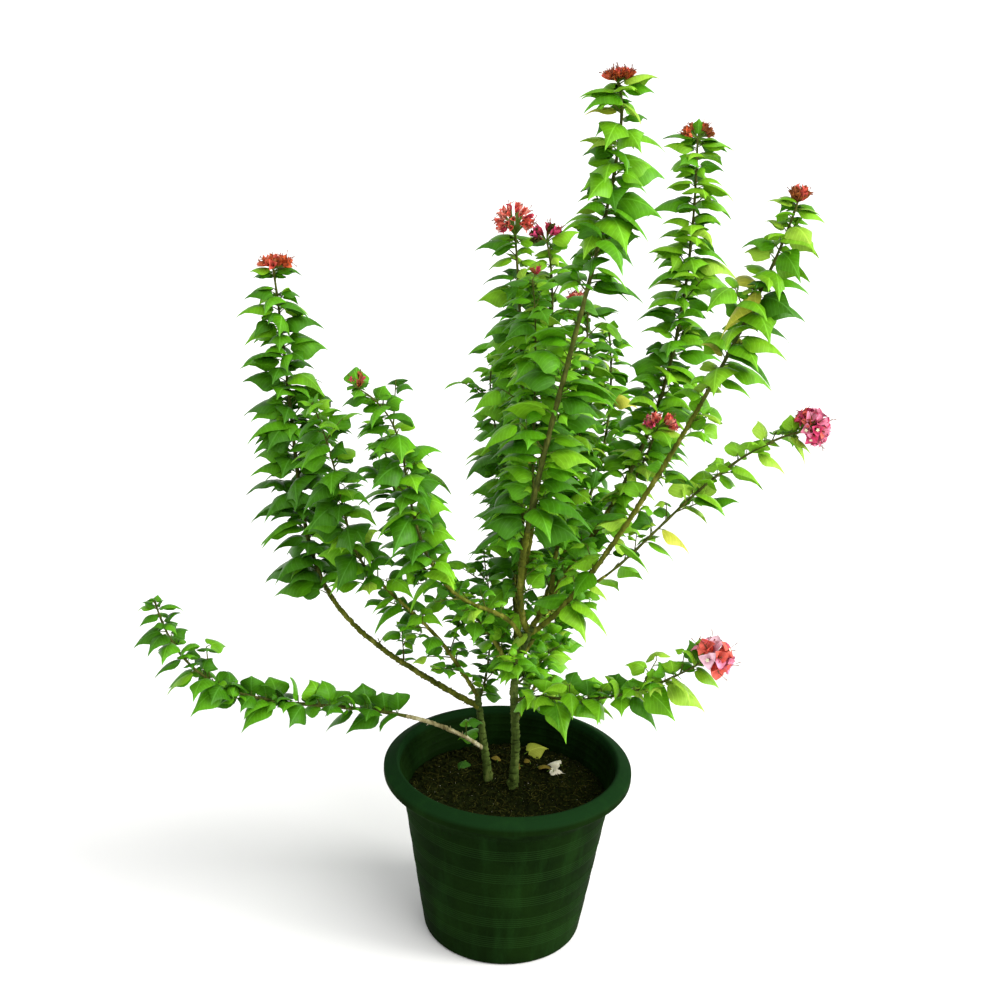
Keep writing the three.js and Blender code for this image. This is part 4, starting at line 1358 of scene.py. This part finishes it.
def leaf_material(name, hex_colour, roughness=0.42):
    """A leaf's tones with a pale midrib and side veins"""
    shade = Shade(name, roughness, 0.14)
    where = shade.place()
    tones = (0.3, linear(hex_colour, 0.8)), (0.7, linear(hex_colour, 1.18))
    colour = shade.ramp(shade.noise(where, 85, 2), *tones)
    away = shade.maths("ABSOLUTE", shade.maths("SUBTRACT", shade.flat_map("X"), 0.5))
    midrib = shade.ramp(away, (0.008, WHITE), (0.028, BLACK))
    along = shade.maths("MULTIPLY", shade.flat_map("Y"), SIDE_VEINS)
    waves = shade.maths("SINE", shade.maths("SUBTRACT", along, shade.maths("MULTIPLY", away, VEIN_SLANT)))
    ribs = shade.ramp(waves, (0.86, BLACK), (1.0, grey(0.55)))
    veins = shade.maths("MAXIMUM", midrib, ribs)
    pale = linear(hex_colour, 1.7, 0.03)
    shade.colour(shade.mixed(shade.maths("MULTIPLY", veins, VEIN_STRENGTH), colour, pale))
    height = shade.maths("SUBTRACT", shade.noise(where, 700, 3), shade.maths("MULTIPLY", veins, 0.8))
    shade.bump(height, 0.3, 0.0006)
    return shade.material


def grained(name, finish, stretch, grain, tones, relief=None):
    """A material whose tones follow a noise, with a finer noise as its relief"""
    shade = Shade(name, *finish)
    where = shade.place(stretch)
    shade.colour(shade.ramp(shade.noise(where, *grain), *tones))
    if relief:
        noise, bump = relief
        shade.bump(shade.noise(where, *noise), *bump)
    return shade.material


def bract_material(name, hex_colour):
    tones = (0.3, linear(hex_colour, 0.72)), (0.7, linear(hex_colour, 1.25))
    return grained(name, (0.62, 0.3), 1, (160, 2), tones, ((900, 3), (0.3, 0.0005)))


def bark_material(name, *tones, scale):
    tones = zip((0.3, 0.52, 0.72), map(linear, tones))
    return grained(name, (0.85, 0.1), 0.28, (scale, 6, 0.65), tones, ((scale * 5, 5, 0.7), (0.6, 0.0008)))


def soil_material(name, *tones, scale):
    tones = zip((0.35, 0.55, 0.75), map(linear, tones))
    return grained(name, (0.95, 0.03), 1, (scale, 6, 0.7), tones, ((scale * 3, 6, 0.75), (0.9, 0.002)))


def floor_material():
    return grained("floor_pale", (0.9, 0.1), 1, (3, 2), ((0.0, grey(0.93)), (1.0, grey(0.96))))


def pot_material():
    """A deep green with a lighter top to the lip, painted light from above, dusty streaks and pale crests on
    the ridges
    """
    shade = Shade("pot_green", 0.5, 0.004)
    where = shade.place()
    colour = shade.ramp(shade.noise(where, 14, 4, 0.6), (0.35, linear("0B1906")), (0.65, linear("112408")))
    height = shade.part(shade.node("TexCoord").outputs["Object"], "Z")
    # Painted light: from 216 mm up, the top of the lip turns a lighter teal green as if lit from above
    colour = shade.mixed(shade.spread(height, (0.216, 0.221)), colour, linear("132C13"))
    streaks = shade.noise(shade.place(0.12), 34, 5, 0.7)
    colour = shade.mixed(shade.ramp(streaks, (0.5, BLACK), (1.0, grey(0.6))), colour, linear("1E4018"))
    crest = shade.ramp(shade.flat_map("Y"), (0.7, BLACK), (1.0, grey(0.35)))
    shade.colour(shade.mixed(crest, colour, linear("2C4E24")))
    roughness = shade.spread(shade.noise(where, 60, 4, 0.6), after=(0.42, 0.6))
    shade.feed(shade.shader, {"Roughness": roughness})
    shade.bump(shade.noise(where, 400, 3), 0.12, 0.0006)
    return shade.material


BARKS = {
    "twig_brown": ("343F12", "4F5C1E", "6F7433", 260), "shoot_brown": ("2E3812", "4A521E", "6A6C30", 220),
    "stem_bark": ("24300C", "445620", "727C40", 90), "bough_bark": ("30380C", "5A6018", "8E8E3E", 110),
    "pale_bough_bark": ("4A4220", "9E966A", "DCD8BC", 130),
}
SOILS = {
    "grit_pale": ("8A8672", "B4B09C", "D8D5C4", 800), "chip_brown": ("161A06", "2E3010", "5A5426", 400),
    "straw_tan": ("2A2C10", "4A4A1E", "7A7640", 500), "soil_dark": ("0B0E03", "1A2008", "3A3C16", 190),
}
LEAVES = {
    "leaf_stalk": ("55701F", 0.55), "fallen_green": ("2E5A10", 0.6), "fallen_yellow": ("9DA63A", 0.6),
    "fallen_dry": ("6A5C1C", 0.75), "fallen_pale": ("EDE6CC", 0.75),
}
BRACTS = {"flower_thread": "6E3A22", "flower_star": "F1ECC4"}


def all_materials():
    LEAVES.update({"leaf_" + tone: (colour,) for tone, colour in TONES.items()})
    BRACTS.update({"bract_" + tone: colour for tone, colour in BRACT_TONES.items()})
    found = {name: leaf_material(name, *look) for name, look in LEAVES.items()}
    found.update({name: bract_material(name, colour) for name, colour in BRACTS.items()})
    for make, table in ((bark_material, BARKS), (soil_material, SOILS)):
        found.update({name: make(name, *tones, scale=scale) for name, (*tones, scale) in table.items()})
    return found


add_camera()
add_world()
for light in LIGHTS:
    add_light(*light)
add_floor()

materials = all_materials()
potwork(pot_material())
add_soil(materials["soil_dark"])
litter(materials)
woodwork(materials)
leafage(materials)
blossom(materials)

scene = bpy.context.scene
scene.view_settings.view_transform = "Standard"
scene.view_settings.look = "None"
